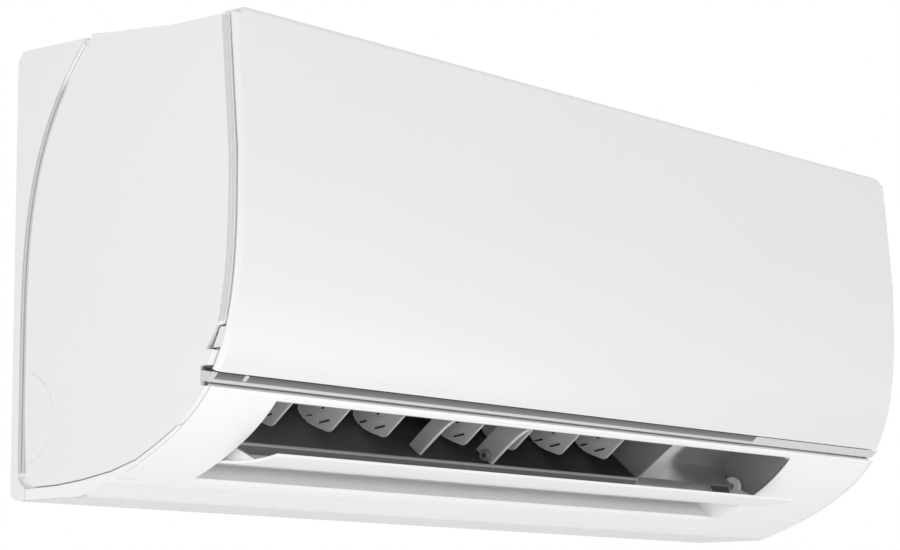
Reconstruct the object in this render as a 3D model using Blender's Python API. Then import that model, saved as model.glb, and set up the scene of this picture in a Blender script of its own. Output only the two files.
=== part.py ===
"""Indoor unit of a wall-mounted split air conditioner, built as separate pieces.

Metres, +Z up. +X is the right-hand side for someone facing the unit, -Y points into the room and
the wall is the plane y = 0. Sections are lists of (y, z) points measured from the wall and from the
unit's underside. The empty "wall_frame" carries every piece and is lowered to the middle of the
mounting plate, so the world origin is the centre of the plate's back face.
"""
import math

import bmesh
import bpy
from mathutils import Matrix, Vector

# Outer size
WIDTH = 0.798
HEIGHT = 0.300
DEPTH = 0.204
HALF = WIDTH / 2

# Front profile: widest at BELLY_Z, flat up to CREASE_Z, then leaning back to a rounded top edge
BELLY_Z = 0.180
CREASE_Z = 0.208
TOP_LEAN = math.radians(4.5)
TOP_ROUND = 0.0045
BELLY_SQUARE = 0.160
BELLY_FIFTH = 0.529

# Clearances
GAP = 0.0003
RUN_GAP = 0.0008

# Casing walls
WALL = 0.0028
PANEL_WALL = 0.0034
BAFFLE_WALL = 0.0024

# Front panel and the strip under it
PANEL_LOW_Z = 0.0713
PANEL_RISE_END = HEIGHT - TOP_ROUND
PANEL_BACK_Y = -(DEPTH - 0.0270)
PANEL_SIDE = 0.0025
PANEL_EDGE_GAP = 0.0012
PANEL_END_TOP = 0.0055
COVER_LIP = 0.0020
COVER_LIP_SINK = 0.0015
GROOVE_HALF = 0.0033
HINGE_Y = -(DEPTH - 0.0255)
HINGE_Z = HEIGHT - 0.0075
HINGE_PIN_R = 0.0016
HINGE_ARM_X = HALF - 0.0190
HINGE_ARM_T = 0.0032
STRIP_LOW_Z = 0.0655
STRIP_SPLIT_X = HALF - 0.187
SHELF_BACK_Y = -(DEPTH - 0.0333)

# A side cover's top edge: shares of the depth, and how far the edge lies below the full height
COVER_TOP = ((0.355, 0.0008), (0.402, 0.0020), (0.466, 0.0031), (0.544, 0.0042), (0.652, 0.0056),
             (0.720, 0.0066), (0.833, 0.0066), (0.900, 0.0062))

# Baffle behind the panel: a curved plate with a window for each filter
BAFFLE_SET_IN = 0.0100
BAFFLE_TOP_Z = HEIGHT - 0.0130
BAFFLE_LOW_Z = 0.0830
BAFFLE_STEPS = 8

# Air outlet and its recess, in the lower front housing
OUTLET_LEFT = -(HALF - 0.067)
OUTLET_RIGHT = HALF - 0.124
OUTLET_TOP_Z = 0.0585
OUTLET_LOW_Z = 0.0115
LIP_TOP_Z = 0.0628
SEAM_Z = 0.0012
RECESS_WALL = 0.0025

# Fan: it fills the room between the casing's back and the front coil
FAN_REAR_ROOM = 0.0460
FAN_FRONT_ROOM = 0.0660
FAN_R = (DEPTH - FAN_REAR_ROOM - FAN_FRONT_ROOM) / 2
FAN_Y = -(FAN_REAR_ROOM + FAN_R)
FAN_Z = 0.132
BLADE_REACH = 0.0135
FAN_BORE_R = FAN_R - BLADE_REACH
FAN_SECTIONS = 4
FAN_BLADES = 16
FAN_DISC_T = 0.0024
BLADE_T = 0.0011
SHAFT_R = 0.0040
DUCT_RIGHT = OUTLET_RIGHT - 0.145

# Duct floor: a straight slope that meets the scroll round the fan
FLOOR_LIP_Y = -0.1240
FLOOR_LIP_Z = 0.0362
FLOOR_SLOPE = math.radians(41.0)
FLOOR_WALL = 0.0026

# Flap
FLAP_AXIS_Y = -0.1210
FLAP_AXIS_Z = 0.0375
FLAP_OPEN = math.radians(35.0)
FLAP_SKIN = 0.0020
FLAP_BULGE = 0.0036
FLAP_LUG_T = 0.0032
FLAP_LUG_R = 0.0078
FLAP_PIN_R = 0.0022

# Vertical vanes
VANE_T = 0.0016
VANE_ARM = 0.020
VANE_STUB_R = 0.0020
VANE_PIN_R = 0.0013
LEFT_VANES = 3
RIGHT_VANES = 4
MIDDLE_RIB_X = -(HALF - 0.271)
VANE_END_ROOM = 0.0380
# Each group: side, number of vanes, X of its first vane, distance from vane to vane
LEFT_VANE_X = -(HALF - 0.119)
LEFT_PITCH = (MIDDLE_RIB_X - VANE_END_ROOM - LEFT_VANE_X) / (LEFT_VANES - 1)
RIGHT_VANE_X = -(HALF - 0.320)
RIGHT_PITCH = (DUCT_RIGHT - VANE_END_ROOM - RIGHT_VANE_X) / (RIGHT_VANES - 1)
VANE_GROUPS = (("left", LEFT_VANES, LEFT_VANE_X, LEFT_PITCH),
               ("right", RIGHT_VANES, RIGHT_VANE_X, RIGHT_PITCH))
# One rib stands between the groups, the other between the right group's first two vanes
RIB_XS = (MIDDLE_RIB_X, RIGHT_VANE_X + RIGHT_PITCH / 2)

# Inner face of the casing's back
REAR_Y = -0.0075

# Evaporator
COIL_T = 0.022
COIL_CORE = 0.0084
COIL_FINS = 16
COIL_PLATE_T = 0.0012
TUBE_R = 0.0035
TUBE_BORE_R = 0.0040
TUBE_PITCH = 0.0205
COIL_LEFT = OUTLET_LEFT + 0.0055
COIL_RIGHT = DUCT_RIGHT - 0.0035
# Each section: name, (y, z) of its lower or front end, (y, z) of its other end, tubes
COIL_RUNS = (
    ("coil_front_lower", (-(DEPTH - 0.0450), 0.0985), (-(DEPTH - 0.0450), 0.1640), 3),
    ("coil_front_upper", (-(DEPTH - 0.0440), 0.1790), (FAN_Y - 0.0090, HEIGHT - 0.0380), 5),
    ("coil_rear", (FAN_Y + 0.0120, HEIGHT - 0.0400), (REAR_Y - 0.0230, 0.1935), 4),
)

# Drain pan under the front coil: the line of its floor, from front to back
PAN_FLOOR = ((-(DEPTH - 0.0325), 0.0890), (-(DEPTH - 0.0580), 0.0925))
TROUGH_Z = FAN_Z + 0.041

# Connecting pipes: name, radius, coil tube, X of the drop, (y, z) in the channel, X of the end, nut radius
PIPE_BEND = 0.0130
PIPES = (("gas_pipe", 0.0048, -1, DUCT_RIGHT + 0.1010, -0.0200, 0.0560, -0.1500, 0.0100),
         ("liquid_pipe", 0.0032, 0, DUCT_RIGHT + 0.0880, -0.0420, 0.0300, -0.1900, 0.0080))

# Back
DRAIN_X = OUTLET_LEFT + 0.030
DRAIN_Z = 0.0170
DRAIN_R = 0.0090
RIM_Y = -0.0018
CHANNEL_Z = 0.084
CHANNEL_Y = -0.064
PLATE_T = 0.0012
PLATE_LOW_Z = 0.098
PLATE_HIGH_Z = 0.258
PLATE_MIDDLE_Z = (PLATE_LOW_Z + PLATE_HIGH_Z) / 2
PLATE_HALF_X = 0.262
PLATE_BAR = 0.026
PLATE_POST = 0.030
HOOK_X = 0.170
HOOK_HALF = 0.0140
HOOK_DROP = 0.0165

# Room air filters
FILTER_T = 0.0016
FILTER_LAP = 0.0060
FILTER_BAR = 0.0040
FILTER_BEND_Z = HEIGHT - 0.0500
FILTER_BEND_R = 0.0290
FILTER_SPLIT = 0.0012

# Top grille
GRILLE_T = 0.0028
GRILLE_FRONT_Y = -(DEPTH - 0.0350)
GRILLE_BACK_Y = -0.0303
GRILLE_SLOTS = 6
GRILLE_COLUMNS = 7

# Motors and electrical box
MOTOR_R = 0.043
MOTOR_LENGTH = 0.056
BOX_LEFT = HALF - 0.158
BOX_RIGHT = HALF - 0.012
BOX_LOW_Z = 0.098
BOX_HIGH_Z = HEIGHT - 0.030

# Manual button
BUTTON_X = HALF - 0.060
BUTTON_Z = 0.122
BUTTON_R = 0.0040
BUTTON_LIFT = 0.0012
BUTTON_LEG_GAP = 0.0008


def finish(name, colour, roughness, metallic=0.0, alpha=1.0):
    """A Principled material of one colour."""
    material = bpy.data.materials.new(name)
    material.use_nodes = True
    shader = material.node_tree.nodes["Principled BSDF"]
    shader.inputs["Base Color"].default_value = (*colour, 1.0)
    shader.inputs["Roughness"].default_value = roughness
    shader.inputs["Metallic"].default_value = metallic
    shader.inputs["Alpha"].default_value = alpha
    material.diffuse_color = (*colour, alpha)
    return material


def clear_scene():
    """Removes whatever the new file holds."""
    for item in list(bpy.data.objects):
        bpy.data.objects.remove(item, do_unlink=True)


clear_scene()

CASE_WHITE = finish("case_white", (0.83, 0.84, 0.84), 0.35)
PANEL_WHITE = finish("panel_white", (0.86, 0.87, 0.87), 0.22)
STRIP_SMOKE = finish("strip_smoke", (0.10, 0.10, 0.11), 0.15)
STRIP_GREY = finish("strip_grey", (0.55, 0.56, 0.57), 0.30)
VANE_GREY = finish("vane_grey", (0.33, 0.34, 0.35), 0.45)
FAN_BLACK = finish("fan_black", (0.030, 0.030, 0.032), 0.50)
COPPER = finish("copper", (0.72, 0.36, 0.20), 0.32, 1.0)
BRASS = finish("brass", (0.74, 0.56, 0.27), 0.30, 1.0)
ALUMINIUM = finish("aluminium", (0.80, 0.81, 0.82), 0.35, 1.0)
ZINC_STEEL = finish("zinc_steel", (0.62, 0.63, 0.64), 0.40, 1.0)
RUBBER = finish("rubber", (0.04, 0.04, 0.04), 0.80)
BOARD_GREEN = finish("board_green", (0.05, 0.24, 0.12), 0.45)
FILTER_GREY = finish("filter_grey", (0.42, 0.45, 0.48), 0.70)
MOTOR_WHITE = finish("motor_white", (0.70, 0.70, 0.68), 0.45)

wall_frame = bpy.data.objects.new("wall_frame", None)
bpy.context.scene.collection.objects.link(wall_frame)
wall_frame.location = (0.0, 0.0, -PLATE_MIDDLE_Z)


# Sections

def front_y(z):
    """The outer front surface at height z."""
    if z > CREASE_Z:
        return -DEPTH + (z - CREASE_Z) * math.tan(TOP_LEAN)
    t = max(0.0, (BELLY_Z - z) / BELLY_Z)
    return -DEPTH * (1.0 - BELLY_SQUARE * t ** 2 - BELLY_FIFTH * t ** 5)


def front_curve(high, low, steps, inset=0.0):
    """Points down the front surface, moved straight back by inset."""
    heights = [high + (low - high) * i / steps for i in range(steps + 1)]
    return [(front_y(z) + inset, z) for z in heights]


def arc(centre, radius, start, end, steps):
    """Points on a circle in the (y, z) plane, from one angle to another, in degrees."""
    angles = [math.radians(start + (end - start) * i / steps) for i in range(steps + 1)]
    return [(centre[0] + radius * math.cos(a), centre[1] + radius * math.sin(a)) for a in angles]


def offset(line, distance):
    """Moves an open line of points to its left by distance."""
    moved = []
    for i, (y, z) in enumerate(line):
        before = Vector(line[max(i - 1, 0)])
        after = Vector(line[min(i + 1, len(line) - 1)])
        here = Vector((y, z))
        into = (here - before).normalized() if i else (after - here).normalized()
        out = (after - here).normalized() if i < len(line) - 1 else into
        normal = Vector((-(into.y + out.y), into.x + out.x)).normalized()
        spread = max(0.4, normal.dot(Vector((-out.y, out.x))))
        moved.append((y + normal.x * distance / spread, z + normal.y * distance / spread))
    return moved


def shell(line, thickness):
    """The closed section of a wall whose outer side is line and which grows to its left."""
    return line + offset(line, thickness)[::-1]


def top_z(y):
    """The top face's height: level at the back, dished in the middle, rising to the front."""
    start, valley = 0.070, DEPTH - 0.049
    run = min(max(-y - start, 0.0), valley - start) / (valley - start)
    rise = 0.001 * max(0.0, -y - valley) / (DEPTH - 0.015 - valley)
    return HEIGHT - 0.0025 - 0.00225 * (1.0 - math.cos(math.pi * run)) + rise


def groove_y(z):
    """The joint between the rear casing and a side cover, at height z."""
    s = max(0.0, (z - 0.080) / (HEIGHT - 0.085))
    return -(0.0112 + 0.0568 * s ** 3.5)


def cover_low():
    """A side cover's lower edge, from the front surface back to the rear joint."""
    tips = [(front_y(z) + inset, z) for z, inset in ((0.0440, 0.0), (0.0360, 0.0022), (0.0290, 0.0034))]
    return tips + [(-0.1170, 0.0213), (-0.0950, 0.0152), (-0.0680, 0.0110), (-0.0450, 0.0088), (-0.0240, 0.0083)]


def floor_point(distance, lift=0.0):
    """A point on the duct's floor, distance behind the lip and lift above the floor."""
    y = FLOOR_LIP_Y + distance * math.cos(FLOOR_SLOPE) - lift * math.sin(FLOOR_SLOPE)
    z = FLOOR_LIP_Z + distance * math.sin(FLOOR_SLOPE) + lift * math.cos(FLOOR_SLOPE)
    return (y, z)


# The duct's upper wall runs from just inside the outlet's top edge to the fan's stabiliser
UPPER_LOW = Vector((front_y(OUTLET_TOP_Z) + 0.0085, OUTLET_TOP_Z + 0.0040))
UPPER_HIGH = Vector(arc((FAN_Y, FAN_Z), FAN_R + 0.0045, 215, 216, 1)[0])
VANE_U = (UPPER_HIGH - UPPER_LOW).normalized()
VANE_W = Vector((VANE_U.y, -VANE_U.x))
VANE_ROOT = UPPER_LOW + VANE_U * 0.0250


# Mesh helpers

def add_prism(bm, outline, x_low, x_high):
    """Adds a closed solid: a (y, z) outline swept along X."""
    low = [bm.verts.new((x_low, y, z)) for y, z in outline]
    high = [bm.verts.new((x_high, y, z)) for y, z in outline]
    bm.faces.new(low[::-1])
    bm.faces.new(high)
    for i in range(len(outline)):
        j = (i + 1) % len(outline)
        bm.faces.new((low[i], low[j], high[j], high[i]))


def add_box(bm, low, high):
    """Adds a box between two corners."""
    add_prism(bm, [(low[1], low[2]), (high[1], low[2]), (high[1], high[2]), (low[1], high[2])],
              low[0], high[0])


def add_rod(bm, start, end, radius, sides=16, end_radius=None):
    """Adds a closed round bar or cone between two points."""
    start, end = Vector(start), Vector(end)
    axis = (end - start).normalized()
    side = axis.orthogonal().normalized()
    other = axis.cross(side)
    last = radius if end_radius is None else end_radius
    rings = []
    for point, size in ((start, radius), (end, last)):
        ring = []
        for i in range(sides):
            a = 2 * math.pi * (i + 0.5) / sides
            ring.append(bm.verts.new(point + (side * math.cos(a) + other * math.sin(a)) * size))
        rings.append(ring)
    bm.faces.new(rings[0][::-1])
    bm.faces.new(rings[1])
    for i in range(sides):
        j = (i + 1) % sides
        bm.faces.new((rings[0][i], rings[0][j], rings[1][j], rings[1][i]))


def add_turned(bm, profile, centre, sides):
    """Adds a ring turned about an X axis: profile is a closed list of (x, radius)."""
    rings = []
    for i in range(sides):
        a = 2 * math.pi * i / sides
        rings.append([bm.verts.new((centre[0] + x, centre[1] + r * math.cos(a),
                                    centre[2] + r * math.sin(a))) for x, r in profile])
    for i in range(sides):
        for k in range(len(profile)):
            here, there = rings[i], rings[(i + 1) % sides]
            m = (k + 1) % len(profile)
            bm.faces.new((here[k], there[k], there[m], here[m]))


def add_turned_y(bm, profile, centre, sides):
    """Adds a ring turned about a Y axis: profile is a closed list of (y, radius)."""
    rings = []
    for i in range(sides):
        a = 2 * math.pi * i / sides
        rings.append([bm.verts.new((centre[0] + r * math.cos(a), centre[1] + y,
                                    centre[2] + r * math.sin(a))) for y, r in profile])
    for i in range(sides):
        for k in range(len(profile)):
            here, there = rings[i], rings[(i + 1) % sides]
            m = (k + 1) % len(profile)
            bm.faces.new((here[k], there[k], there[m], here[m]))


def add_slab(bm, outline, low, high):
    """Adds a prism whose outline is in local x and y, swept along local z."""
    first = [bm.verts.new((x, y, low)) for x, y in outline]
    second = [bm.verts.new((x, y, high)) for x, y in outline]
    bm.faces.new(first[::-1])
    bm.faces.new(second)
    for i in range(len(outline)):
        j = (i + 1) % len(outline)
        bm.faces.new((first[i], first[j], second[j], second[i]))


def add_upright(bm, outline, y_low, y_high):
    """Adds a prism whose outline is in x and z, swept along Y."""
    low = [bm.verts.new((x, y_low, z)) for x, z in outline]
    high = [bm.verts.new((x, y_high, z)) for x, z in outline]
    bm.faces.new(low)
    bm.faces.new(high[::-1])
    for i in range(len(outline)):
        j = (i + 1) % len(outline)
        bm.faces.new((low[i], high[i], high[j], low[j]))


def make(name, bm, material, parent=None, location=(0.0, 0.0, 0.0)):
    """Turns a mesh into a named piece under the wall frame or another parent."""
    bmesh.ops.recalc_face_normals(bm, faces=bm.faces)
    mesh = bpy.data.meshes.new(name)
    bm.to_mesh(mesh)
    bm.free()
    mesh.materials.append(material)
    mesh.shade_smooth()
    mesh.set_sharp_from_angle(angle=math.radians(32))
    piece = bpy.data.objects.new(name, mesh)
    bpy.context.scene.collection.objects.link(piece)
    piece.parent = parent or wall_frame
    piece.location = location
    return piece


def tool(piece, bm, operation, suffix):
    """Adds a Boolean whose other operand is bm, in the same frame as the piece's parent."""
    bmesh.ops.recalc_face_normals(bm, faces=bm.faces)
    mesh = bpy.data.meshes.new(piece.name + suffix)
    bm.to_mesh(mesh)
    bm.free()
    guide = bpy.data.objects.new(piece.name + suffix, mesh)
    bpy.context.scene.collection.objects.link(guide)
    guide.parent = piece.parent
    guide.location = piece.location
    guide.rotation_euler = piece.rotation_euler
    guide.hide_render = True
    guide.display_type = "WIRE"
    step = piece.modifiers.new(suffix.strip("_"), "BOOLEAN")
    step.operation = operation
    step.solver = "EXACT"
    step.object = guide


def weld(piece, bm, suffix):
    """Joins a closed solid to the piece."""
    tool(piece, bm, "UNION", suffix)


def carve(piece, bm, suffix):
    """Cuts a closed solid, or several that don't meet, out of the piece."""
    tool(piece, bm, "DIFFERENCE", suffix)


def prism_piece(name, outline, x_low, x_high, material):
    """A piece that is one swept section."""
    bm = bmesh.new()
    add_prism(bm, outline, x_low, x_high)
    return make(name, bm, material)


def lattice(path, columns, thickness, rows_open, columns_open):
    """A sheet along a (y, z) path and X columns, with a cell left open where row and column both are."""
    bm = bmesh.new()
    under = offset(path, thickness)
    grid = [[[bm.verts.new((x, y, z)) for x in columns] for y, z in side] for side in (path, under)]
    fill_grid(bm, grid, rows_open, columns_open)
    return bm


def fill_grid(bm, grid, rows_open, columns_open):
    """Closes two layers of grid points into one sheet, leaving the open cells out."""
    last_row, last_column = len(rows_open), len(columns_open)

    def solid(i, j):
        inside = 0 <= i < last_row and 0 <= j < last_column
        return inside and not (rows_open[i] and columns_open[j])

    for i in range(last_row):
        for j in range(last_column):
            if not solid(i, j):
                continue
            for side in grid:
                bm.faces.new((side[i][j], side[i][j + 1], side[i + 1][j + 1], side[i + 1][j]))
            edges = (((i, j), (i, j + 1), (i - 1, j)), ((i + 1, j), (i + 1, j + 1), (i + 1, j)),
                     ((i, j), (i + 1, j), (i, j - 1)), ((i, j + 1), (i + 1, j + 1), (i, j + 1)))
            for start, end, beyond in edges:
                if not solid(*beyond):
                    bm.faces.new((grid[0][start[0]][start[1]], grid[0][end[0]][end[1]],
                                  grid[1][end[0]][end[1]], grid[1][start[0]][start[1]]))


def bars(low, high, openings, bar):
    """Stations across a span that holds equal openings between bars, and which strips are open."""
    space = (high - low - bar * (openings + 1)) / openings
    stations, is_open = [low], []
    for _ in range(openings):
        stations += [stations[-1] + bar, stations[-1] + bar + space]
        is_open += [False, True]
    stations.append(high)
    is_open.append(False)
    return stations, is_open


# Rear casing

def scroll_radius():
    """The scroll's radius about the fan's axis, at which it runs on smoothly from the duct's floor."""
    return (FAN_Z - FLOOR_LIP_Z) * math.cos(FLOOR_SLOPE) - (FAN_Y - FLOOR_LIP_Y) * math.sin(FLOOR_SLOPE)


def fan_scroll():
    """The duct's floor and the scroll round the back of the fan, from the lip upwards."""
    start = math.degrees(FLOOR_SLOPE) - 90.0
    return [floor_point(0.0)] + arc((FAN_Y, FAN_Z), scroll_radius(), start, 34.0, 9)


def trough_floor():
    """The two ends of the rear drip trough's floor, behind the scroll's top edge."""
    tip_y = fan_scroll()[-1][0]
    return (tip_y + 0.004, TROUGH_Z - 0.001), (REAR_Y - 0.001, TROUGH_Z + 0.0035)


def chamber_wall():
    """The end wall of the fan chamber, inside the coils and behind the outlet's recess."""
    lower = floor_point(0.028, 0.001)
    upper = UPPER_LOW + VANE_U * 0.026
    front, rear = FAN_Y - FAN_R, FAN_Y + FAN_R
    behind = arc((FAN_Y, FAN_Z), scroll_radius() + FLOOR_WALL - GAP, 28, -48, 6)
    return [lower, tuple(upper), (front - 0.001, FAN_Z - 0.030), (front - 0.007, FAN_Z - 0.026),
            (front - 0.007, FAN_Z + 0.034), (FAN_Y - 0.012, FAN_Z + 0.092),
            (FAN_Y + 0.010, FAN_Z + 0.094), (rear - 0.002, FAN_Z + 0.056),
            (rear - 0.003, FAN_Z + 0.030)] + behind


def side_outline(front_inset, low_z, high_inset):
    """The casing's side outline behind the front, from the top front corner round to the wall."""
    front = front_curve(HEIGHT - 0.012, 0.030, 9, front_inset)
    under = front_curve(0.024, low_z, 3, front_inset)
    top = [(-0.0065, HEIGHT - 0.0026), (-0.070, HEIGHT - 0.0026 - high_inset)]
    top += [(-y, top_z(-y) - 0.0003 - high_inset) for y in (0.095, 0.125, 0.155)]
    return front + under + [(RIM_Y, low_z), (RIM_Y, HEIGHT - 0.0090)] + top


def build_chassis():
    """The rear casing: back, pipe channel, bottom, end plates, fan scroll and rear drip trough."""
    inner = HALF - 0.0070
    high = HEIGHT - 0.0026
    back = [(-0.0300, high), (-0.0065, high), (RIM_Y, HEIGHT - 0.0090), (RIM_Y, HEIGHT - 0.0320),
            (REAR_Y, HEIGHT - 0.0380), (REAR_Y, CHANNEL_Z), (CHANNEL_Y, CHANNEL_Z),
            (CHANNEL_Y, WALL), (-0.0080, WALL), (RIM_Y, 0.0058), (RIM_Y, 0.0040), (-0.0062, 0.0),
            (front_y(0.0), 0.0)]
    under = [(front_y(SEAM_Z - GAP), SEAM_Z - GAP)]
    inside = [(CHANNEL_Y - WALL, WALL),
              (CHANNEL_Y - WALL, CHANNEL_Z + WALL), (REAR_Y - WALL, CHANNEL_Z + WALL),
              (REAR_Y - WALL, HEIGHT - 0.0395), (-0.0070, HEIGHT - 0.0345),
              (-0.0070, high - WALL), (-0.0300, high - WALL)]
    chassis = prism_piece("base_chassis", back + under + inside, -inner, inner, CASE_WHITE)

    scroll = bmesh.new()
    line = fan_scroll()
    add_prism(scroll, line + offset(line, -FLOOR_WALL)[::-1], OUTLET_LEFT + GAP, DUCT_RIGHT + 0.003)
    weld(chassis, scroll, "_scroll")

    trough = bmesh.new()
    tip = line[-1]
    front, back = trough_floor()
    add_prism(trough, [(REAR_Y - 0.001, TROUGH_Z), (tip[0] + 0.006, TROUGH_Z - 0.004),
                       (tip[0] + 0.001, tip[1] - 0.001), (tip[0] - 0.002, tip[1] + 0.002),
                       (tip[0] - 0.0005, TROUGH_Z + 0.006), (tip[0] + 0.002, TROUGH_Z + 0.006),
                       front, back],
              OUTLET_LEFT - 0.0015, DUCT_RIGHT + 0.0035)
    weld(chassis, trough, "_trough")

    walls = bmesh.new()
    for x in (OUTLET_LEFT - 0.0025, DUCT_RIGHT + 0.0015):
        add_prism(walls, chamber_wall(), x, x + 0.0030)
    weld(chassis, walls, "_walls")

    ends = bmesh.new()
    for side in (-1, 1):
        xs = sorted((side * (inner - 0.0008), side * (HALF - 0.0042)))
        add_prism(ends, side_outline(0.0140, 0.0030, 0.0035), *xs)
    weld(chassis, ends, "_ends")

    raised = bmesh.new()
    heights = [HEIGHT - 0.0050 - (HEIGHT - 0.087) * i / 18 for i in range(19)]
    joint = [(groove_y(z), z) for z in heights]
    behind = [(-0.0062, 0.0004), (RIM_Y + 0.0001, 0.0040), (RIM_Y + 0.0001, HEIGHT - 0.0090),
              (-0.0065, HEIGHT - 0.0028)]
    low = [(-0.0082, 0.0150), (-0.0118, 0.0100), (-0.0155, 0.0080), (-0.0155, 0.0004)]
    rim = offset(joint, GROOVE_HALF)
    rim = rim + low + behind + [(rim[0][0] - 0.0010, HEIGHT - 0.0028)]
    for side in (-1, 1):
        add_prism(raised, rim, *sorted((side * (HALF - 0.0060), side * (HALF - 0.0005))))
    weld(chassis, raised, "_raised")
    floor = bmesh.new()
    sole = offset(joint, -(GROOVE_HALF - 0.0008))
    sole = sole + [(sole[-1][0], 0.0160)] + low[:1] + behind[1:] + [(sole[0][0] + 0.0010, HEIGHT - 0.0036)]
    for side in (-1, 1):
        add_prism(floor, sole, *sorted((side * (HALF - 0.0062), side * (HALF - 0.0026))))
    weld(chassis, floor, "_joint_floor")

    cuts = bmesh.new()
    add_rod(cuts, (OUTLET_LEFT - 0.010, FAN_Y, FAN_Z), (OUTLET_LEFT + 0.004, FAN_Y, FAN_Z),
            0.0130 + GAP, 20)
    add_rod(cuts, (DUCT_RIGHT - 0.004, FAN_Y, FAN_Z), (DUCT_RIGHT + 0.010, FAN_Y, FAN_Z), 0.0150, 20)
    add_box(cuts, (OUTLET_LEFT - 0.004, FLOOR_LIP_Y - 0.008, FLOOR_LIP_Z - 0.014),
            (OUTLET_LEFT + 0.0130, FLOOR_LIP_Y + 0.0170, FLOOR_LIP_Z + 0.0115))
    slot_half, slot_low = HOOK_HALF + 0.0020, PLATE_HIGH_Z - HOOK_DROP - 0.0120
    for x in (-HOOK_X, HOOK_X):
        add_box(cuts, (x - slot_half, REAR_Y - 0.006, slot_low),
                (x + slot_half, REAR_Y + 0.002, slot_low + 0.0140))
    add_rod(cuts, (DRAIN_X, CHANNEL_Y - 0.006, DRAIN_Z), (DRAIN_X, CHANNEL_Y + 0.004, DRAIN_Z),
            DRAIN_R + GAP, 16)
    for _, radius, _, x, y, *_ in PIPES:
        add_rod(cuts, (x, y, CHANNEL_Z - 0.004), (x, y, CHANNEL_Z + 0.008), radius + RUN_GAP, 12)
    carve(chassis, cuts, "_cuts")
    return chassis


def build_mounting_plate():
    """The pressed steel plate that is screwed to the wall, with two hooks for the casing."""
    rows, rows_open = bars(PLATE_LOW_Z, PLATE_HIGH_Z, 2, PLATE_BAR)
    columns, columns_open = bars(-PLATE_HALF_X, PLATE_HALF_X, 6, PLATE_POST)
    bm = lattice([(0.0, z) for z in rows], columns, PLATE_T, rows_open, columns_open)
    plate = make("mounting_plate", bm, ZINC_STEEL)
    hooks = bmesh.new()
    foot = PLATE_HIGH_Z - HOOK_DROP
    inside = REAR_Y - WALL - 0.0007
    for x in (-HOOK_X, HOOK_X):
        add_prism(hooks, [(-PLATE_T / 2, foot - 0.0016), (inside - 0.0015, foot - 0.0016),
                          (inside - 0.0015, foot + 0.0080), (inside, foot + 0.0080),
                          (inside, foot), (-PLATE_T / 2, foot)],
                  x - HOOK_HALF, x + HOOK_HALF)
    weld(plate, hooks, "_hooks")
    return plate


# Side covers, front frame and panel

def cover_outline():
    """A side cover's outline: front edge, lower edge, then up the rear joint to the top."""
    front = front_curve(HEIGHT - 0.0060, PANEL_LOW_Z + 0.0040, 24, PANEL_WALL + PANEL_EDGE_GAP)
    strip_back = SHELF_BACK_Y - 0.0021
    front += [(strip_back, PANEL_LOW_Z + 0.0040), (strip_back, LIP_TOP_Z + 0.0006)]
    nose = front_curve(LIP_TOP_Z, 0.0490, 5)
    heights = [0.060 + (HEIGHT - 0.0665) * i / 20 for i in range(21)]
    rear = offset([(groove_y(z), z) for z in heights], GROOVE_HALF)
    top = [(-share * DEPTH, HEIGHT - drop) for share, drop in COVER_TOP]
    return front + nose + cover_low() + [(-0.0165, 0.0120)] + rear + top


def build_side_cover(name, side):
    """The leaf-shaped cover of one end, flush with the panel's edge."""
    outline = cover_outline()
    face = HALF * side
    back = side * (HALF - 0.0039)
    piece = prism_piece(name, outline, *sorted((face, back)), CASE_WHITE)
    cuts = bmesh.new()
    depth = sorted((side * (HALF - 0.0008), side * (HALF + 0.0010)))
    centre = (-0.0110, 0.0530)
    for start, end in ((256, 198), (176, 104)):
        line = arc(centre, 0.0310, start, end, 6)
        add_prism(cuts, line + arc(centre, 0.0302, end, start, 6), *depth)
    notch = sorted((side * (HALF - 0.0045), side * (HALF + 0.0010)))
    high, low = 0.1010, 0.0835
    add_prism(cuts, [(front_y(high) - 0.001, high), (front_y(high) + 0.0105, high - 0.002),
                     (front_y(low) + 0.0125, low + 0.002), (front_y(low) - 0.001, low)], *notch)
    carve(piece, cuts, "_cuts")
    lip = bmesh.new()
    behind_panel = PANEL_WALL + PANEL_EDGE_GAP
    line = front_curve(HEIGHT, PANEL_LOW_Z + 0.0020, 24, behind_panel - 0.0040)
    back = [(y + 0.0040 + COVER_LIP, z) for y, z in line]
    add_prism(lip, line + back[::-1], *sorted((side * (HALF - COVER_LIP_SINK), side * (HALF + 0.0010))))
    carve(piece, lip, "_lip")
    return piece


def recess_wall(raised):
    """The end wall of the outlet's recess: the housing's outline outside, the duct or the niche inside."""
    outer = front_curve(OUTLET_TOP_Z + 0.003, OUTLET_LOW_Z - 0.002, 8)
    behind = [(CHANNEL_Y - 0.0060, 0.0150), (CHANNEL_Y - 0.0100, 0.0560)]
    behind += [(-0.1040, 0.0640), (-0.1180, 0.0730)] if raised else [floor_point(0.0220, 0.0010)]
    return outer + behind + [tuple(UPPER_LOW + VANE_U * 0.021 - VANE_W * 0.0005),
                             tuple(UPPER_LOW - VANE_W * 0.0010)]


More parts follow.
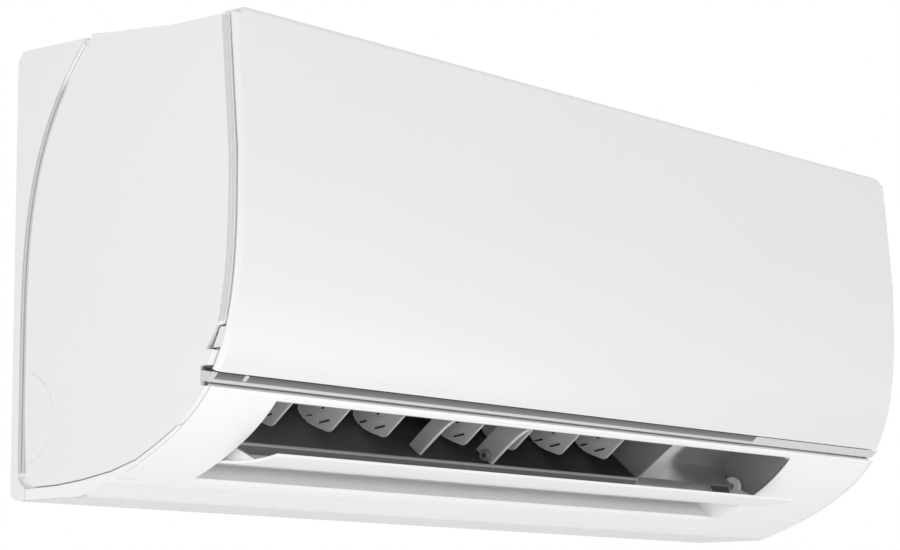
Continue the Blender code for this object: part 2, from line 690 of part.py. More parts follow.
def build_front_frame():
    """The front housing: lower skin with the outlet and its recess, and the plate behind the panel."""
    half = HALF - 0.0046
    skin_line = front_curve(LIP_TOP_Z, SEAM_Z + GAP, 24)
    frame = prism_piece("front_frame", shell(skin_line, WALL), -half, half, CASE_WHITE)

    shelf = bmesh.new()
    lip = (front_y(LIP_TOP_Z) + 0.0004, LIP_TOP_Z - 0.0001)
    plate_line = front_curve(BAFFLE_TOP_Z, BAFFLE_LOW_Z, BAFFLE_STEPS, BAFFLE_SET_IN)
    plate_inner = [(y + BAFFLE_WALL, z) for y, z in plate_line]
    wall = 0.0022
    under = [(SHELF_BACK_Y + wall, 0.0800), (SHELF_BACK_Y + wall, LIP_TOP_Z - wall),
             (lip[0] + 0.0006, LIP_TOP_Z - 0.0024), lip, (SHELF_BACK_Y, LIP_TOP_Z), (SHELF_BACK_Y, 0.0775)]
    inner_half = HALF - 0.0070 - 0.0008 - GAP
    add_prism(shelf, plate_inner + under + plate_line[::-1], -inner_half, inner_half)
    weld(frame, shelf, "_plate")

    recess = bmesh.new()
    for x, raised in ((OUTLET_LEFT - RECESS_WALL, False), (OUTLET_RIGHT, True)):
        add_prism(recess, recess_wall(raised), x, x + RECESS_WALL)
    weld(frame, recess, "_recess_ends")

    cheeks, joins = bmesh.new(), bmesh.new()
    low = [(y, z - 0.0008) for y, z in cover_low()[1:]]
    front = front_curve(0.0400, SEAM_Z + GAP, 12)
    cheek = front + [(front_y(0.0) + 0.0004, 0.0004), (-0.0160, 0.0004), (-0.0160, 0.0072)] + low[::-1]
    for side in (-1, 1):
        add_prism(cheeks, cheek, *sorted((side * (HALF - 0.0039), side * (HALF - 0.0005))))
        add_prism(joins, shell(front[8:], WALL), *sorted((side * (HALF - 0.0056), side * (HALF - 0.0010))))
    weld(frame, cheeks, "_cheeks")
    weld(frame, joins, "_cheek_joins")

    rear = bmesh.new()
    low = (front_y(OUTLET_LOW_Z) + 0.0010, OUTLET_LOW_Z + 0.0005)
    line = [low, (CHANNEL_Y - 0.0180, 0.0262), (CHANNEL_Y - 0.0170, 0.0380), (CHANNEL_Y - 0.0175, 0.0560)]
    add_prism(rear, line + offset(line, -RECESS_WALL)[::-1], OUTLET_LEFT - 0.0005, OUTLET_RIGHT + 0.0005)
    weld(frame, rear, "_recess_back")

    bar = bmesh.new()
    add_box(bar, (-(HALF - 0.0230), HINGE_Y - 0.0120, HEIGHT - 0.0160),
            (HALF - 0.0230, HINGE_Y + 0.0085, HEIGHT - 0.0110))
    weld(frame, bar, "_top_bar")

    ears = bmesh.new()
    ear_in = HINGE_ARM_X + HINGE_ARM_T + GAP
    for side in (-1, 1):
        xs = sorted((side * ear_in, side * (ear_in + 0.0030)))
        add_prism(ears, [(HINGE_Y - 0.0110, HINGE_Z - 0.0200), (HINGE_Y - 0.0040, HINGE_Z - 0.0200),
                         (HINGE_Y + 0.0040, HINGE_Z - 0.0040)]
                  + arc((HINGE_Y, HINGE_Z), 0.0034, 0, 150, 5) + [(HINGE_Y - 0.0110, HINGE_Z - 0.0070)], *xs)
    weld(frame, ears, "_hinge_ears")

    cuts = bmesh.new()
    edge = front_y(OUTLET_LOW_Z)
    opening = front_curve(OUTLET_TOP_Z, OUTLET_LOW_Z, 6, -0.0060)
    opening.append((edge, OUTLET_LOW_Z - 0.0035))
    lower = (edge + 0.0006, OUTLET_LOW_Z + 0.0042)
    upper = (front_y(OUTLET_TOP_Z) + 0.0080, OUTLET_TOP_Z + 0.0004)
    add_prism(cuts, opening + [lower, (front_y(0.0300) + 0.0080, 0.0370), upper],
              OUTLET_LEFT, OUTLET_RIGHT)
    window_low, window_high = filter_heights()[0] + FILTER_LAP, BAFFLE_TOP_Z - 0.0130
    for _, low_x, high_x in filter_spans():
        add_box(cuts, (low_x + FILTER_LAP, -(DEPTH - 0.0020), window_low),
                (high_x - FILTER_LAP, -(DEPTH - 0.0200), window_high))
    add_rod(cuts, (BUTTON_X, front_y(BUTTON_Z), BUTTON_Z), (BUTTON_X, front_y(BUTTON_Z) + 0.020, BUTTON_Z),
            BUTTON_R + GAP, 16)
    for side in (-1, 1):
        xs = sorted((side * (HALF - 0.0226), side * (HINGE_ARM_X + HINGE_ARM_T + GAP / 2)))
        add_box(cuts, (xs[0], HINGE_Y - 0.0150, HINGE_Z - 0.0085), (xs[1], HINGE_Y + 0.0100, HEIGHT))
        add_rod(cuts, (side * (HINGE_ARM_X + 0.002), HINGE_Y, HINGE_Z),
                (side * (ear_in + 0.0060), HINGE_Y, HINGE_Z), HINGE_PIN_R + GAP, 12)
    carve(frame, cuts, "_cuts")

    bores = bmesh.new()
    for x in (OUTLET_LEFT - 0.006, OUTLET_RIGHT - 0.003):
        add_rod(bores, (x, FLAP_AXIS_Y, FLAP_AXIS_Z), (x + 0.009, FLAP_AXIS_Y, FLAP_AXIS_Z),
                FLAP_PIN_R + GAP, 12)
    carve(frame, bores, "_bores")
    return frame


def build_front_panel():
    """The big lifting panel: one curved shell with a rounded top edge and two hinge arms."""
    lean = [(front_y(z), z) for z in (PANEL_RISE_END, CREASE_Z)]
    centre = (front_y(PANEL_RISE_END) + TOP_ROUND, PANEL_RISE_END)
    top = [(PANEL_BACK_Y, HEIGHT)] + arc(centre, TOP_ROUND, 90, 180, 5)[:-1]
    line = [(y - HINGE_Y, z - HINGE_Z) for y, z in top + lean + front_curve(BELLY_Z, PANEL_LOW_Z, 22)]
    inner = offset(line, PANEL_WALL)[::-1]
    bm = bmesh.new()
    half = HALF - PANEL_SIDE
    ends = ((0.0, 0.0023), (0.0012, 0.0011), (0.0050, 0.0))
    places = [(e - half, sink) for e, sink in ends] + [(half - e, sink) for e, sink in ends[::-1]]
    rings = [[bm.verts.new((x, y, z)) for y, z in offset(line, sink) + inner] for x, sink in places]
    bm.faces.new(rings[0][::-1])
    bm.faces.new(rings[-1])
    for here, there in zip(rings, rings[1:]):
        for i in range(len(here)):
            j = (i + 1) % len(here)
            bm.faces.new((here[i], here[j], there[j], there[i]))
    panel = make("front_panel", bm, PANEL_WHITE, location=(0.0, HINGE_Y, HINGE_Z))
    arms = bmesh.new()
    reach = front_y(HINGE_Z) + 0.0020 - HINGE_Y
    for side in (-1, 1):
        xs = sorted((side * HINGE_ARM_X, side * (HINGE_ARM_X + HINGE_ARM_T)))
        add_prism(arms, [(reach, -0.0030), (0.0, -0.0032)] + arc((0.0, 0.0), 0.0032, -60, 60, 4)
                  + [(0.0, 0.0048), (reach, 0.0052)], *xs)
    weld(panel, arms, "_arms")
    pins = bmesh.new()
    for side in (-1, 1):
        add_rod(pins, (side * (HINGE_ARM_X + HINGE_ARM_T / 2), 0.0, 0.0),
                (side * (HINGE_ARM_X + HINGE_ARM_T + 0.0030), 0.0, 0.0), HINGE_PIN_R, 12)
    weld(panel, pins, "_pins")

    returns, corners, tabs = bmesh.new(), bmesh.new(), bmesh.new()
    end_z = HEIGHT - PANEL_END_TOP - HINGE_Z
    wall_y = front_y(HEIGHT) + PANEL_WALL + 0.0006 - HINGE_Y
    round_r = 0.0090
    inner_x = half - 0.0068 - round_r * math.cos(math.radians(24))
    lift = end_z - round_r * math.sin(math.radians(24))
    for side in (-1, 1):
        add_box(returns, *[(x, y, z) for x, y, z in zip(sorted((side * (half - 0.0090), side * (HALF + 0.001))),
                                                       (wall_y, 0.0080), (-0.0080, 0.0110))])
        bend = [(inner_x + round_r * math.cos(math.radians(a)), lift + round_r * math.sin(math.radians(a)))
                for a in (78, 60, 42, 24)]
        outline = [(inner_x + 0.0010, 0.0110)] + bend + [(HALF + 0.001, end_z), (HALF + 0.001, 0.0110)]
        add_upright(corners, [(side * x, z) for x, z in outline], -0.0300, 0.0100)
        low_z, high_z = 0.0860, 0.0985
        flank = [(front_y(z) + inset - HINGE_Y, z - HINGE_Z)
                 for z, inset in ((high_z, 0.0028), (high_z, 0.0085), (low_z, 0.0100), (low_z, 0.0028))]
        add_prism(tabs, flank, *sorted((side * (half - 0.0035), side * (half - 0.0002))))
    carve(panel, returns, "_returns")
    carve(panel, corners, "_corners")
    weld(panel, tabs, "_tabs")
    return panel


def build_strip(name, x_low, x_high, material):
    """A length of the strip under the panel, set back and leaning under."""
    top = front_y(PANEL_LOW_Z)
    low = front_y(STRIP_LOW_Z) + 0.0030
    back = SHELF_BACK_Y - 0.0028
    outline = [(top + 0.0010, PANEL_LOW_Z - 0.0004), (low, STRIP_LOW_Z), (back, STRIP_LOW_Z + 0.0006),
               (back, PANEL_LOW_Z + 0.0032), (top + 0.0045, PANEL_LOW_Z - 0.0002)]
    return prism_piece(name, outline, x_low, x_high, material)


# Fan

def build_fan():
    """The cross-flow fan: rings of curved blades between discs, in one moulding with its hub."""
    sections, blades = FAN_SECTIONS, FAN_BLADES
    start, end = OUTLET_LEFT + 0.0060, DUCT_RIGHT - 0.0040
    pitch = (end - start - FAN_DISC_T) / sections
    flat = []
    turn = 2 * math.pi / blades

    def polar(radius, angle):
        return (radius * math.cos(angle), radius * math.sin(angle))

    stations = ((FAN_BORE_R + 0.0020, 0.00), (FAN_R - 0.0065, 0.10), (FAN_R - 0.0006, 0.30))
    for i in range(blades):
        base = i * turn
        flat.append(polar(FAN_BORE_R, base))
        for sign in (-1, 1):
            flat += [polar(r, base + lean + sign * BLADE_T / 2 / r) for r, lean in stations]
        flat.append(polar(FAN_R, base + 0.30))
    step = 8
    blade_cells, web_cells, outer, inner = [], [], [], []
    for i in range(blades):
        b, n = i * step, ((i + 1) % blades) * step
        blade_cells.append([b + 1, b + 2, b + 3, b + 6, b + 5, b + 4])
        web_cells += [[b, b + 1, b + 4], [b + 7, b + 6, b + 3],
                      [b, b + 4, b + 5, b + 6, b + 7, n + 7, n + 3, n + 2, n + 1, n]]
        outer.append((b + 7, n + 7))
        inner.append((b, n))

    bm = bmesh.new()

    def layer(x):
        return [bm.verts.new((x, y, z)) for y, z in flat]

    def ring_walls(low, high, pairs):
        for a, b in pairs:
            bm.faces.new((low[a], low[b], high[b], high[a]))

    previous = None
    for k in range(sections + 1):
        x = start + k * pitch
        low, high = layer(x), layer(x + FAN_DISC_T)
        for face in web_cells:
            bm.faces.new([low[i] for i in face])
            bm.faces.new([high[i] for i in face])
        ring_walls(low, high, outer)
        if 0 < k < sections:
            ring_walls(low, high, inner)
        if previous is not None:
            for cell in blade_cells:
                ring_walls(previous, low, list(zip(cell, cell[1:] + cell[:1])))
        closed = low if k == 0 else high if k == sections else None
        if closed is not None:
            for cell in blade_cells:
                bm.faces.new([closed[i] for i in cell])
            hub_side, far_side = (low, high) if k == 0 else (high, low)
            bm.faces.new([far_side[a] for a, _ in inner])
            rim = [hub_side[a] for a, _ in inner]
            outward = -1 if k == 0 else 1
            face_x = x if k == 0 else x + FAN_DISC_T
            if k == 0:
                steps = ((SHAFT_R, 0.0), (SHAFT_R, 0.0190))
            else:
                steps = ((0.0095, 0.0), (0.0095, 0.0130), (SHAFT_R + GAP, 0.0130), (SHAFT_R + GAP, 0.0010))
            for radius, reach in steps:
                ring = []
                for i in range(blades):
                    y, z = polar(radius, i * turn)
                    ring.append(bm.verts.new((face_x + outward * reach, y, z)))
                for i in range(blades):
                    j = (i + 1) % blades
                    bm.faces.new((rim[i], rim[j], ring[j], ring[i]))
                rim = ring
            bm.faces.new(rim)
        previous = high
    return make("cross_flow_fan", bm, FAN_BLACK, location=(0.0, FAN_Y, FAN_Z))


def build_fan_mounts():
    """The bearing and its rubber seat at the left end, the motor and its clamp at the right."""
    wall_x = OUTLET_LEFT - 0.0025
    bearing = bmesh.new()
    add_turned(bearing, [(-0.0085, SHAFT_R + GAP), (0.0055, SHAFT_R + GAP), (0.0055, 0.0080),
                         (-0.0085, 0.0080)], (wall_x, FAN_Y, FAN_Z), 20)
    make("fan_bearing", bearing, BRASS)
    seat = bmesh.new()
    add_turned(seat, [(-0.0070, 0.0080 + GAP), (0.0050, 0.0080 + GAP), (0.0050, 0.0130), (-0.0005, 0.0130),
                      (-0.0005, 0.0160), (-0.0040, 0.0160), (-0.0070, 0.0120)],
               (wall_x, FAN_Y, FAN_Z), 20)
    make("bearing_seat", seat, RUBBER)

    near = DUCT_RIGHT + 0.0200
    motor = bmesh.new()
    shaft_end = DUCT_RIGHT - 0.0010
    profile = [(shaft_end, 0.0), (shaft_end, SHAFT_R), (near - 0.0080, SHAFT_R), (near - 0.0080, 0.0120),
               (near, 0.0120), (near, MOTOR_R - 0.004), (near + 0.004, MOTOR_R),
               (near + MOTOR_LENGTH - 0.004, MOTOR_R), (near + MOTOR_LENGTH, MOTOR_R - 0.004),
               (near + MOTOR_LENGTH, 0.0120), (near + MOTOR_LENGTH + 0.0060, 0.0120),
               (near + MOTOR_LENGTH + 0.0060, 0.0)]
    sides = 24
    rings = []
    for x, r in profile:
        if r == 0.0:
            rings.append([motor.verts.new((x, 0.0, 0.0))])
            continue
        rings.append([motor.verts.new((x, r * math.cos(2 * math.pi * i / sides),
                                       r * math.sin(2 * math.pi * i / sides))) for i in range(sides)])
    for here, there in zip(rings, rings[1:]):
        for i in range(sides):
            j = (i + 1) % sides
            if len(here) == 1:
                motor.faces.new((here[0], there[i], there[j]))
            elif len(there) == 1:
                motor.faces.new((here[i], here[j], there[0]))
            else:
                motor.faces.new((here[i], here[j], there[j], there[i]))
    make("fan_motor", motor, MOTOR_WHITE, location=(0.0, FAN_Y, FAN_Z))

    low_x, high_x = near + 0.0100, near + MOTOR_LENGTH - 0.0100
    centre = (FAN_Y, FAN_Z)
    base_y = REAR_Y - WALL - GAP
    bed = bmesh.new()
    add_prism(bed, arc(centre, MOTOR_R + GAP, 178, 362, 14)
              + [(base_y, FAN_Z), (base_y, CHANNEL_Z + WALL + GAP), (FAN_Y - 0.0475, CHANNEL_Z + WALL + GAP),
                 (FAN_Y - 0.0475, FAN_Z)], low_x, high_x)
    make("motor_bed", bed, CASE_WHITE)
    clamp = bmesh.new()
    foot = FAN_Z + 0.0018
    add_prism(clamp, arc(centre, MOTOR_R + GAP, 177, 3, 14)
              + [(base_y, foot), (base_y, foot + 0.0030), (FAN_Y + MOTOR_R + 0.0040, foot + 0.0030)]
              + arc(centre, MOTOR_R + 0.0038, 8, 172, 12)
              + [(FAN_Y - MOTOR_R - 0.0040, foot + 0.0030), (FAN_Y - 0.0475, foot + 0.0030),
                 (FAN_Y - 0.0475, foot)], low_x, high_x)
    make("motor_clamp", clamp, ZINC_STEEL)


# Drain pan, duct and vanes

def build_drain_pan():
    """The front drain pan, whose underside is the duct's upper wall, with ribs and vane sockets."""
    low_x, high_x = OUTLET_LEFT + 0.0008, DUCT_RIGHT + 0.0012
    tip = tuple(UPPER_HIGH)
    front, back = PAN_FLOOR
    outline = [tuple(UPPER_LOW), tip, (tip[0] - 0.0012, tip[1] + 0.0045), (tip[0] - 0.0040, tip[1] + 0.0050),
               back, front, (front[0] - 0.0007, front[1] + 0.0110), (front[0] - 0.0030, front[1] + 0.0110),
               (front[0] - 0.0015, front[1] - 0.0015), (front[0] + 0.0060, front[1] - 0.0080),
               (UPPER_LOW.x + 0.0010, UPPER_LOW.y + 0.0070)]
    pan = prism_piece("drain_pan", outline, low_x, high_x, CASE_WHITE)
    ribs = bmesh.new()
    foot_front, foot_back = floor_point(0.0015, 0.0006), floor_point(0.0240, 0.0006)
    top_front = tuple(UPPER_LOW + VANE_U * 0.0060 - VANE_W * 0.0015)
    top_back = tuple(UPPER_LOW + VANE_U * 0.0330 - VANE_W * 0.0015)
    for x in RIB_XS:
        add_prism(ribs, [foot_front, foot_back, top_back, top_front], x - 0.0010, x + 0.0010)
    weld(pan, ribs, "_ribs")
    sockets = bmesh.new()
    for _, x in vane_places():
        start = VANE_ROOT + VANE_W * 0.0030
        end = VANE_ROOT - VANE_W * 0.0062
        add_rod(sockets, (x, *start), (x, *end), VANE_STUB_R + GAP, 10)
    carve(pan, sockets, "_sockets")
    return pan


def vane_places():
    """The name and the X of every vane, left group first."""
    return [(f"vane_{side}_{i + 1}", first + i * pitch)
            for side, count, first, pitch in VANE_GROUPS for i in range(count)]


def vane_frame(x):
    """Turns (along the duct, into the duct, to the left) into the unit's frame for the vane at x."""
    return Matrix(((0, 0, -1, x), (VANE_U.x, VANE_W.x, 0, VANE_ROOT.x),
                   (VANE_U.y, VANE_W.y, 0, VANE_ROOT.y), (0, 0, 0, 1)))


def vane_depth(along):
    """How far the duct's floor is from the upper wall, at a distance upstream of the root."""
    point = VANE_ROOT + VANE_U * along
    normal = Vector((-math.sin(FLOOR_SLOPE), math.cos(FLOOR_SLOPE)))
    return (point - Vector((FLOOR_LIP_Y, FLOOR_LIP_Z))).dot(normal) / -VANE_W.dot(normal)


def build_vanes():
    """The tongue-shaped vanes in two linked groups, each turning on a stub in the drain pan."""
    front, back = -0.0085, 0.0260
    link_w = 0.0260
    notch_in = VANE_ARM - 0.0078
    # The tongue's lower edge: how far along, and its clearance to the duct's floor
    tongue = ((front, 0.0110), (-0.0080, 0.0092), (-0.0067, 0.0077), (-0.0040, 0.0066), (0.0030, 0.0036),
              (0.0100, 0.0015), (0.0150, 0.0015), (0.0200, 0.0017), (0.0240, 0.0033), (back, 0.0069))
    outline = [(front, 0.0010)] + [(along, vane_depth(along) - room) for along, room in tongue]
    outline += [(back, link_w + 0.0030),
                (notch_in, link_w + 0.0030), (notch_in, link_w - 0.0030), (back, link_w - 0.0030),
                (back, 0.0060), (back - 0.0050, 0.0010)]
    for name, x in vane_places():
        bm = bmesh.new()
        add_slab(bm, outline, -VANE_T / 2, VANE_T / 2)
        vane = make(name, bm, VANE_GREY)
        vane.matrix_local = vane_frame(x)
        stub = bmesh.new()
        add_rod(stub, (0, 0.0040, 0), (0, -0.0050, 0), VANE_STUB_R, 10)
        pin = bmesh.new()
        add_rod(pin, (VANE_ARM, link_w + 0.0045, 0), (VANE_ARM, link_w - 0.0045, 0), VANE_PIN_R, 8)
        for part, suffix in ((stub, "_stub"), (pin, "_pin")):
            weld(vane, part, suffix)
            guide = vane.modifiers[-1].object
            guide.matrix_local = vane_frame(x)

    slot_front, slot_back = VANE_ARM - 0.0062, VANE_ARM + VANE_PIN_R + GAP
    slot_half = VANE_PIN_R + 0.0010
    for side, count, first, pitch in VANE_GROUPS:
        run = pitch * (count - 1) / 2
        middle = first + run
        bm = bmesh.new()
        stations = [-run - 0.008]
        is_open = []
        for i in range(count):
            centre = -run + i * pitch
            stations += [centre - slot_half, centre + slot_half]
            is_open += [False, True]
        stations.append(run + 0.008)
        is_open.append(False)
        rows = [slot_front - 0.0015, slot_front, slot_back, slot_back + 0.0020]
        grid = [[[bm.verts.new((u, link_w + lift, x)) for x in stations] for u in rows]
                for lift in (-0.0018, 0.0018)]
        fill_grid(bm, grid, [False, True, False], is_open)
        link = make(f"vane_link_{side}", bm, VANE_GREY)
        link.matrix_local = vane_frame(middle)


def build_duct_fairing():
    """The blanking piece at the outlet's right: a sheet that deepens from the duct's end into a niche."""
    x_low, x_deep, x_high = DUCT_RIGHT + 0.0050, DUCT_RIGHT + 0.0850, OUTLET_RIGHT - 0.0006
    edge, crown = floor_point(0.0015, 0.0012), tuple(UPPER_LOW + VANE_U * 0.0050 + VANE_W * 0.0010)
    deep = [edge, floor_point(0.0090, 0.0012), floor_point(0.0165, 0.0012), floor_point(0.0225, 0.0040),
            floor_point(0.0245, 0.0105), (-0.1240, 0.0685), (-0.1420, 0.0712), crown]
    last = len(deep) - 1
    flat = [(edge[0] + (crown[0] - edge[0]) * i / last, edge[1] + (crown[1] - edge[1]) * i / last)
            for i in range(last + 1)]
    # Beside the flap's lug the sheet starts further in, to leave the lug its room
    clear = [floor_point(0.0135, 0.0012), floor_point(0.0150, 0.0012)] + deep[2:]
    steps = 7
    places = [(x_low + (x_deep - x_low) * i / steps, i / steps, flat, deep) for i in range(steps + 1)]
    lug_x = OUTLET_RIGHT - RUN_GAP - 0.0034 - FLAP_LUG_T - 0.0016
    places += [(lug_x, 1.0, flat, deep), (lug_x + 0.0006, 1.0, flat, clear), (x_high, 1.0, flat, clear)]
    bm = bmesh.new()
    rings = []
    for x, t, start, end in places:
        ease = t * t * (3 - 2 * t)
        section = [(a[0] + (b[0] - a[0]) * ease, a[1] + (b[1] - a[1]) * ease) for a, b in zip(start, end)]
        rings.append([bm.verts.new((x, y, z)) for y, z in shell(section, -0.0018)])
    bm.faces.new(rings[0])
    bm.faces.new(rings[-1])
    for here, there in zip(rings, rings[1:]):
        for i in range(len(here)):
            j = (i + 1) % len(here)
            bm.faces.new((here[i], here[j], there[j], there[i]))
    return make("duct_fairing", bm, CASE_WHITE)


# Flap

def flap_line(high=OUTLET_TOP_Z - 0.0015, low=OUTLET_LOW_Z + 0.0013, steps=16):
    """The flap's outer line when it is closed, from its front edge to its rear edge."""
    return [(y - FLAP_AXIS_Y, z - FLAP_AXIS_Z) for y, z in front_curve(high, low, steps)]


def build_flap():
    """The outlet flap: an outer skin with two hinge lugs and a slimmer inner liner."""
    left, right = OUTLET_LEFT + RUN_GAP, OUTLET_RIGHT - RUN_GAP
    line = flap_line()
    place = (0.0, FLAP_AXIS_Y, FLAP_AXIS_Z)
    bm = bmesh.new()
    add_prism(bm, shell(line, FLAP_SKIN), left, right)
    skin = make("flap_outer_skin", bm, PANEL_WHITE, location=place)
    skin.rotation_euler.x = FLAP_OPEN
    lugs = bmesh.new()
    foot = offset(line, FLAP_SKIN * 0.6)
    for x in (left + 0.0034, right - 0.0034 - FLAP_LUG_T):
        outline = [foot[11], foot[8], foot[5]] + arc((0.0, 0.0), FLAP_LUG_R, 165, 10, 8)
        add_prism(lugs, outline, x, x + FLAP_LUG_T)
    weld(skin, lugs, "_lugs")
    pins = bmesh.new()
    add_rod(pins, (left + 0.0034 + FLAP_LUG_T / 2, 0, 0), (left - 0.0030, 0, 0), FLAP_PIN_R, 12)
    weld(skin, pins, "_pin")
    socket = bmesh.new()
    lug_x = right - 0.0034 - FLAP_LUG_T
    add_rod(socket, (lug_x - 0.001, 0, 0), (right + 0.001, 0, 0), FLAP_PIN_R + GAP, 12)
    carve(skin, socket, "_socket")

    body = bmesh.new()
    inner = offset(line, FLAP_SKIN + GAP)[2:-2:2]
    ends = ((left + 0.0160, 0.15), (left + 0.0300, 0.30), (left + 0.0440, 0.80), (left + 0.0520, 1.0),
            (right - 0.0520, 1.0), (right - 0.0440, 0.80), (right - 0.0300, 0.30), (right - 0.0160, 0.15))
    rings = []
    count = len(inner) - 1
    for x, swell in ends:
        ring = [body.verts.new((x, *point)) for point in inner]
        top = []
        for i, point in enumerate(inner):
            height = 0.0008 + FLAP_BULGE * swell * math.sin(math.pi * i / count)
            before, after = Vector(inner[max(i - 1, 0)]), Vector(inner[min(i + 1, count)])
            along = (after - before).normalized()
            top.append(body.verts.new((x, point[0] - along.y * height, point[1] + along.x * height)))
        rings.append(ring + top[::-1])
    body.faces.new(rings[0])
    body.faces.new(rings[-1])
    for here, there in zip(rings, rings[1:]):
        for i in range(len(here)):
            j = (i + 1) % len(here)
            body.faces.new((here[i], here[j], there[j], there[i]))
    liner = make("flap_inner_liner", body, PANEL_WHITE, location=place)
    liner.rotation_euler.x = FLAP_OPEN


def build_flap_motor():
    """The small stepper motor that turns the flap, behind the recess's right wall."""
    bm = bmesh.new()
    wall = OUTLET_RIGHT + RECESS_WALL + GAP
    centre = (FLAP_AXIS_Y, FLAP_AXIS_Z)
    body = (FLAP_AXIS_Y + 0.0048, FLAP_AXIS_Z + 0.0064)
    add_rod(bm, (wall, *body), (wall + 0.0160, *body), 0.0138, 20)
    motor = make("flap_motor", bm, ZINC_STEEL)
    shaft = bmesh.new()
    add_rod(shaft, (wall + 0.004, *centre), (OUTLET_RIGHT - RUN_GAP - 0.0060, *centre), FLAP_PIN_R, 12)
    weld(motor, shaft, "_shaft")


# Heat exchanger

def coil_bores(start, end, count):
    """The (y, z) of a coil section's tubes, evenly placed about its middle."""
    start, end = Vector(start), Vector(end)
    along = (end - start).normalized()
    middle = (start + end) / 2
    return [middle + along * TUBE_PITCH * (i - (count - 1) / 2) for i in range(count)]


def build_coils():
    """Three finned sections bent over the fan, with grooves between groups of fins."""
    for name, start, end, count in COIL_RUNS:
        start_v, end_v = Vector(start), Vector(end)
        along = (end_v - start_v).normalized()
        across = Vector((-along.y, along.x))
        length = (end_v - start_v).length
        fin_pitch = (COIL_RIGHT - COIL_LEFT) / COIL_FINS
        fin = fin_pitch * 0.36
        half, core = COIL_T / 2, COIL_CORE / 2
        upper, lower = [], []
        for i in range(COIL_FINS):
            x = COIL_LEFT + i * fin_pitch
            for point in ((x, half), (x + fin, half), (x + fin, core), (x + fin_pitch, core)):
                upper.append(point)
                lower.append((point[0], -point[1]))
        outline = upper[:-1] + lower[:-1][::-1]
        bm = bmesh.new()
        rings = []
        for s in (0.0, length):
            base = start_v + along * s
            rings.append([bm.verts.new((x, base.x + across.x * t, base.y + across.y * t))
                          for x, t in outline])
        bm.faces.new(rings[0])
        bm.faces.new(rings[1])
        for i in range(len(outline)):
            j = (i + 1) % len(outline)
            bm.faces.new((rings[0][i], rings[0][j], rings[1][j], rings[1][i]))
        coil = make(name, bm, ALUMINIUM)
        bores = bmesh.new()
        for centre in coil_bores(start, end, count):
            add_rod(bores, (COIL_LEFT - 0.010, *centre), (COIL_RIGHT + 0.010, *centre), TUBE_BORE_R, 8)
        carve(coil, bores, "_bores")


def coil_face(run, side):
    """The two ends of a coil section's outer (1) or inner (-1) face."""
    start, end = Vector(run[1]), Vector(run[2])
    along = (end - start).normalized()
    across = Vector((-along.y, along.x)) * side * COIL_T / 2
    return [tuple(start + across), tuple(end + across)]


def build_coil_plates():
    """The bent steel plate at each end of the coils, which stands in the drain pan and the trough."""
    lower, upper, rear = COIL_RUNS
    pan_front, pan_back = Vector(PAN_FLOOR[0]), Vector(PAN_FLOOR[1])
    foot = []
    for y in (coil_face(lower, -1)[0][0], coil_face(lower, 1)[0][0]):
        share = (y - pan_front.x) / (pan_back.x - pan_front.x)
        foot.append((y, pan_front.y + (pan_back.y - pan_front.y) * share + GAP))
    heel = []
    dip, wall = trough_floor()
    for y in (coil_face(rear, 1)[1][0], coil_face(rear, -1)[1][0] + 0.0030):
        share = (y - dip[0]) / (wall[0] - dip[0])
        heel.append((y, dip[1] + (wall[1] - dip[1]) * share + GAP))
    outline = foot + [coil_face(lower, 1)[1]] + coil_face(upper, 1) + coil_face(rear, 1) + heel
    outline += coil_face(rear, -1)[::-1] + coil_face(upper, -1)[::-1] + [coil_face(lower, -1)[1]]
    left, right = COIL_LEFT - GAP, COIL_RIGHT + GAP
    for name, low_x, high_x in (("coil_plate_left", left - COIL_PLATE_T, left),
                                ("coil_plate_right", right, right + COIL_PLATE_T)):
        plate = prism_piece(name, outline, low_x, high_x, ZINC_STEEL)
        holes = bmesh.new()
        for _, start, end, count in COIL_RUNS:
            for centre in coil_bores(start, end, count):
                add_rod(holes, (low_x - 0.002, *centre), (high_x + 0.002, *centre), TUBE_BORE_R, 8)
        carve(plate, holes, "_holes")


def build_tube():
    """One copper tube that passes through every coil section in turn, with a bend at each end."""
    centres = [c for _, start, end, count in COIL_RUNS for c in coil_bores(start, end, count)]
    left, right = OUTLET_LEFT - 0.0120, DUCT_RIGHT + 0.0120
    points = []
    x_here, x_there = right + 0.010, left
    for i, centre in enumerate(centres):
        points += [(x_here, *centre), (x_there, *centre)]
        if i + 1 < len(centres):
            after = centres[i + 1]
            radius = (after - centre).length / 2
            middle = (centre + after) / 2
            away = 1 if x_there == right else -1
            for angle in (36, 72, 108, 144):
                a = math.radians(angle)
                spot = middle + (centre - middle) * math.cos(a)
                points.append((x_there + away * radius * math.sin(a), spot.x, spot.y))
            x_here, x_there = x_there, (right if x_there == left else left)
    points[-1] = (right + 0.010, *centres[-1])
    tube_curve("evaporator_tube", points, TUBE_R)


def tube_curve(name, points, radius):
    """A closed-ended copper tube through points."""
    curve = bpy.data.curves.new(name, "CURVE")
    curve.dimensions = "3D"
    spline = curve.splines.new("POLY")
    spline.points.add(len(points) - 1)
    for spot, place in zip(spline.points, points):
        spot.co = (*place, 1.0)
    curve.bevel_depth = radius
    curve.bevel_resolution = 1
    curve.use_fill_caps = True
    curve.materials.append(COPPER)
    tube = bpy.data.objects.new(name, curve)
    bpy.context.scene.collection.objects.link(tube)
    tube.parent = wall_frame
    return tube


def bent_route(corners, radius):
    """The points of a pipe's centre line: straight runs with every corner rounded."""
    corners = [Vector(c) for c in corners]
    points = [corners[0]]
    for before, corner, after in zip(corners, corners[1:], corners[2:]):
        start = corner + (before - corner).normalized() * radius
        end = corner + (after - corner).normalized() * radius
        for i in range(4):
            t = i / 3
            points.append(start * (1 - t) ** 2 + corner * 2 * t * (1 - t) + end * t ** 2)
    return [tuple(c) for c in points + [corners[-1]]]


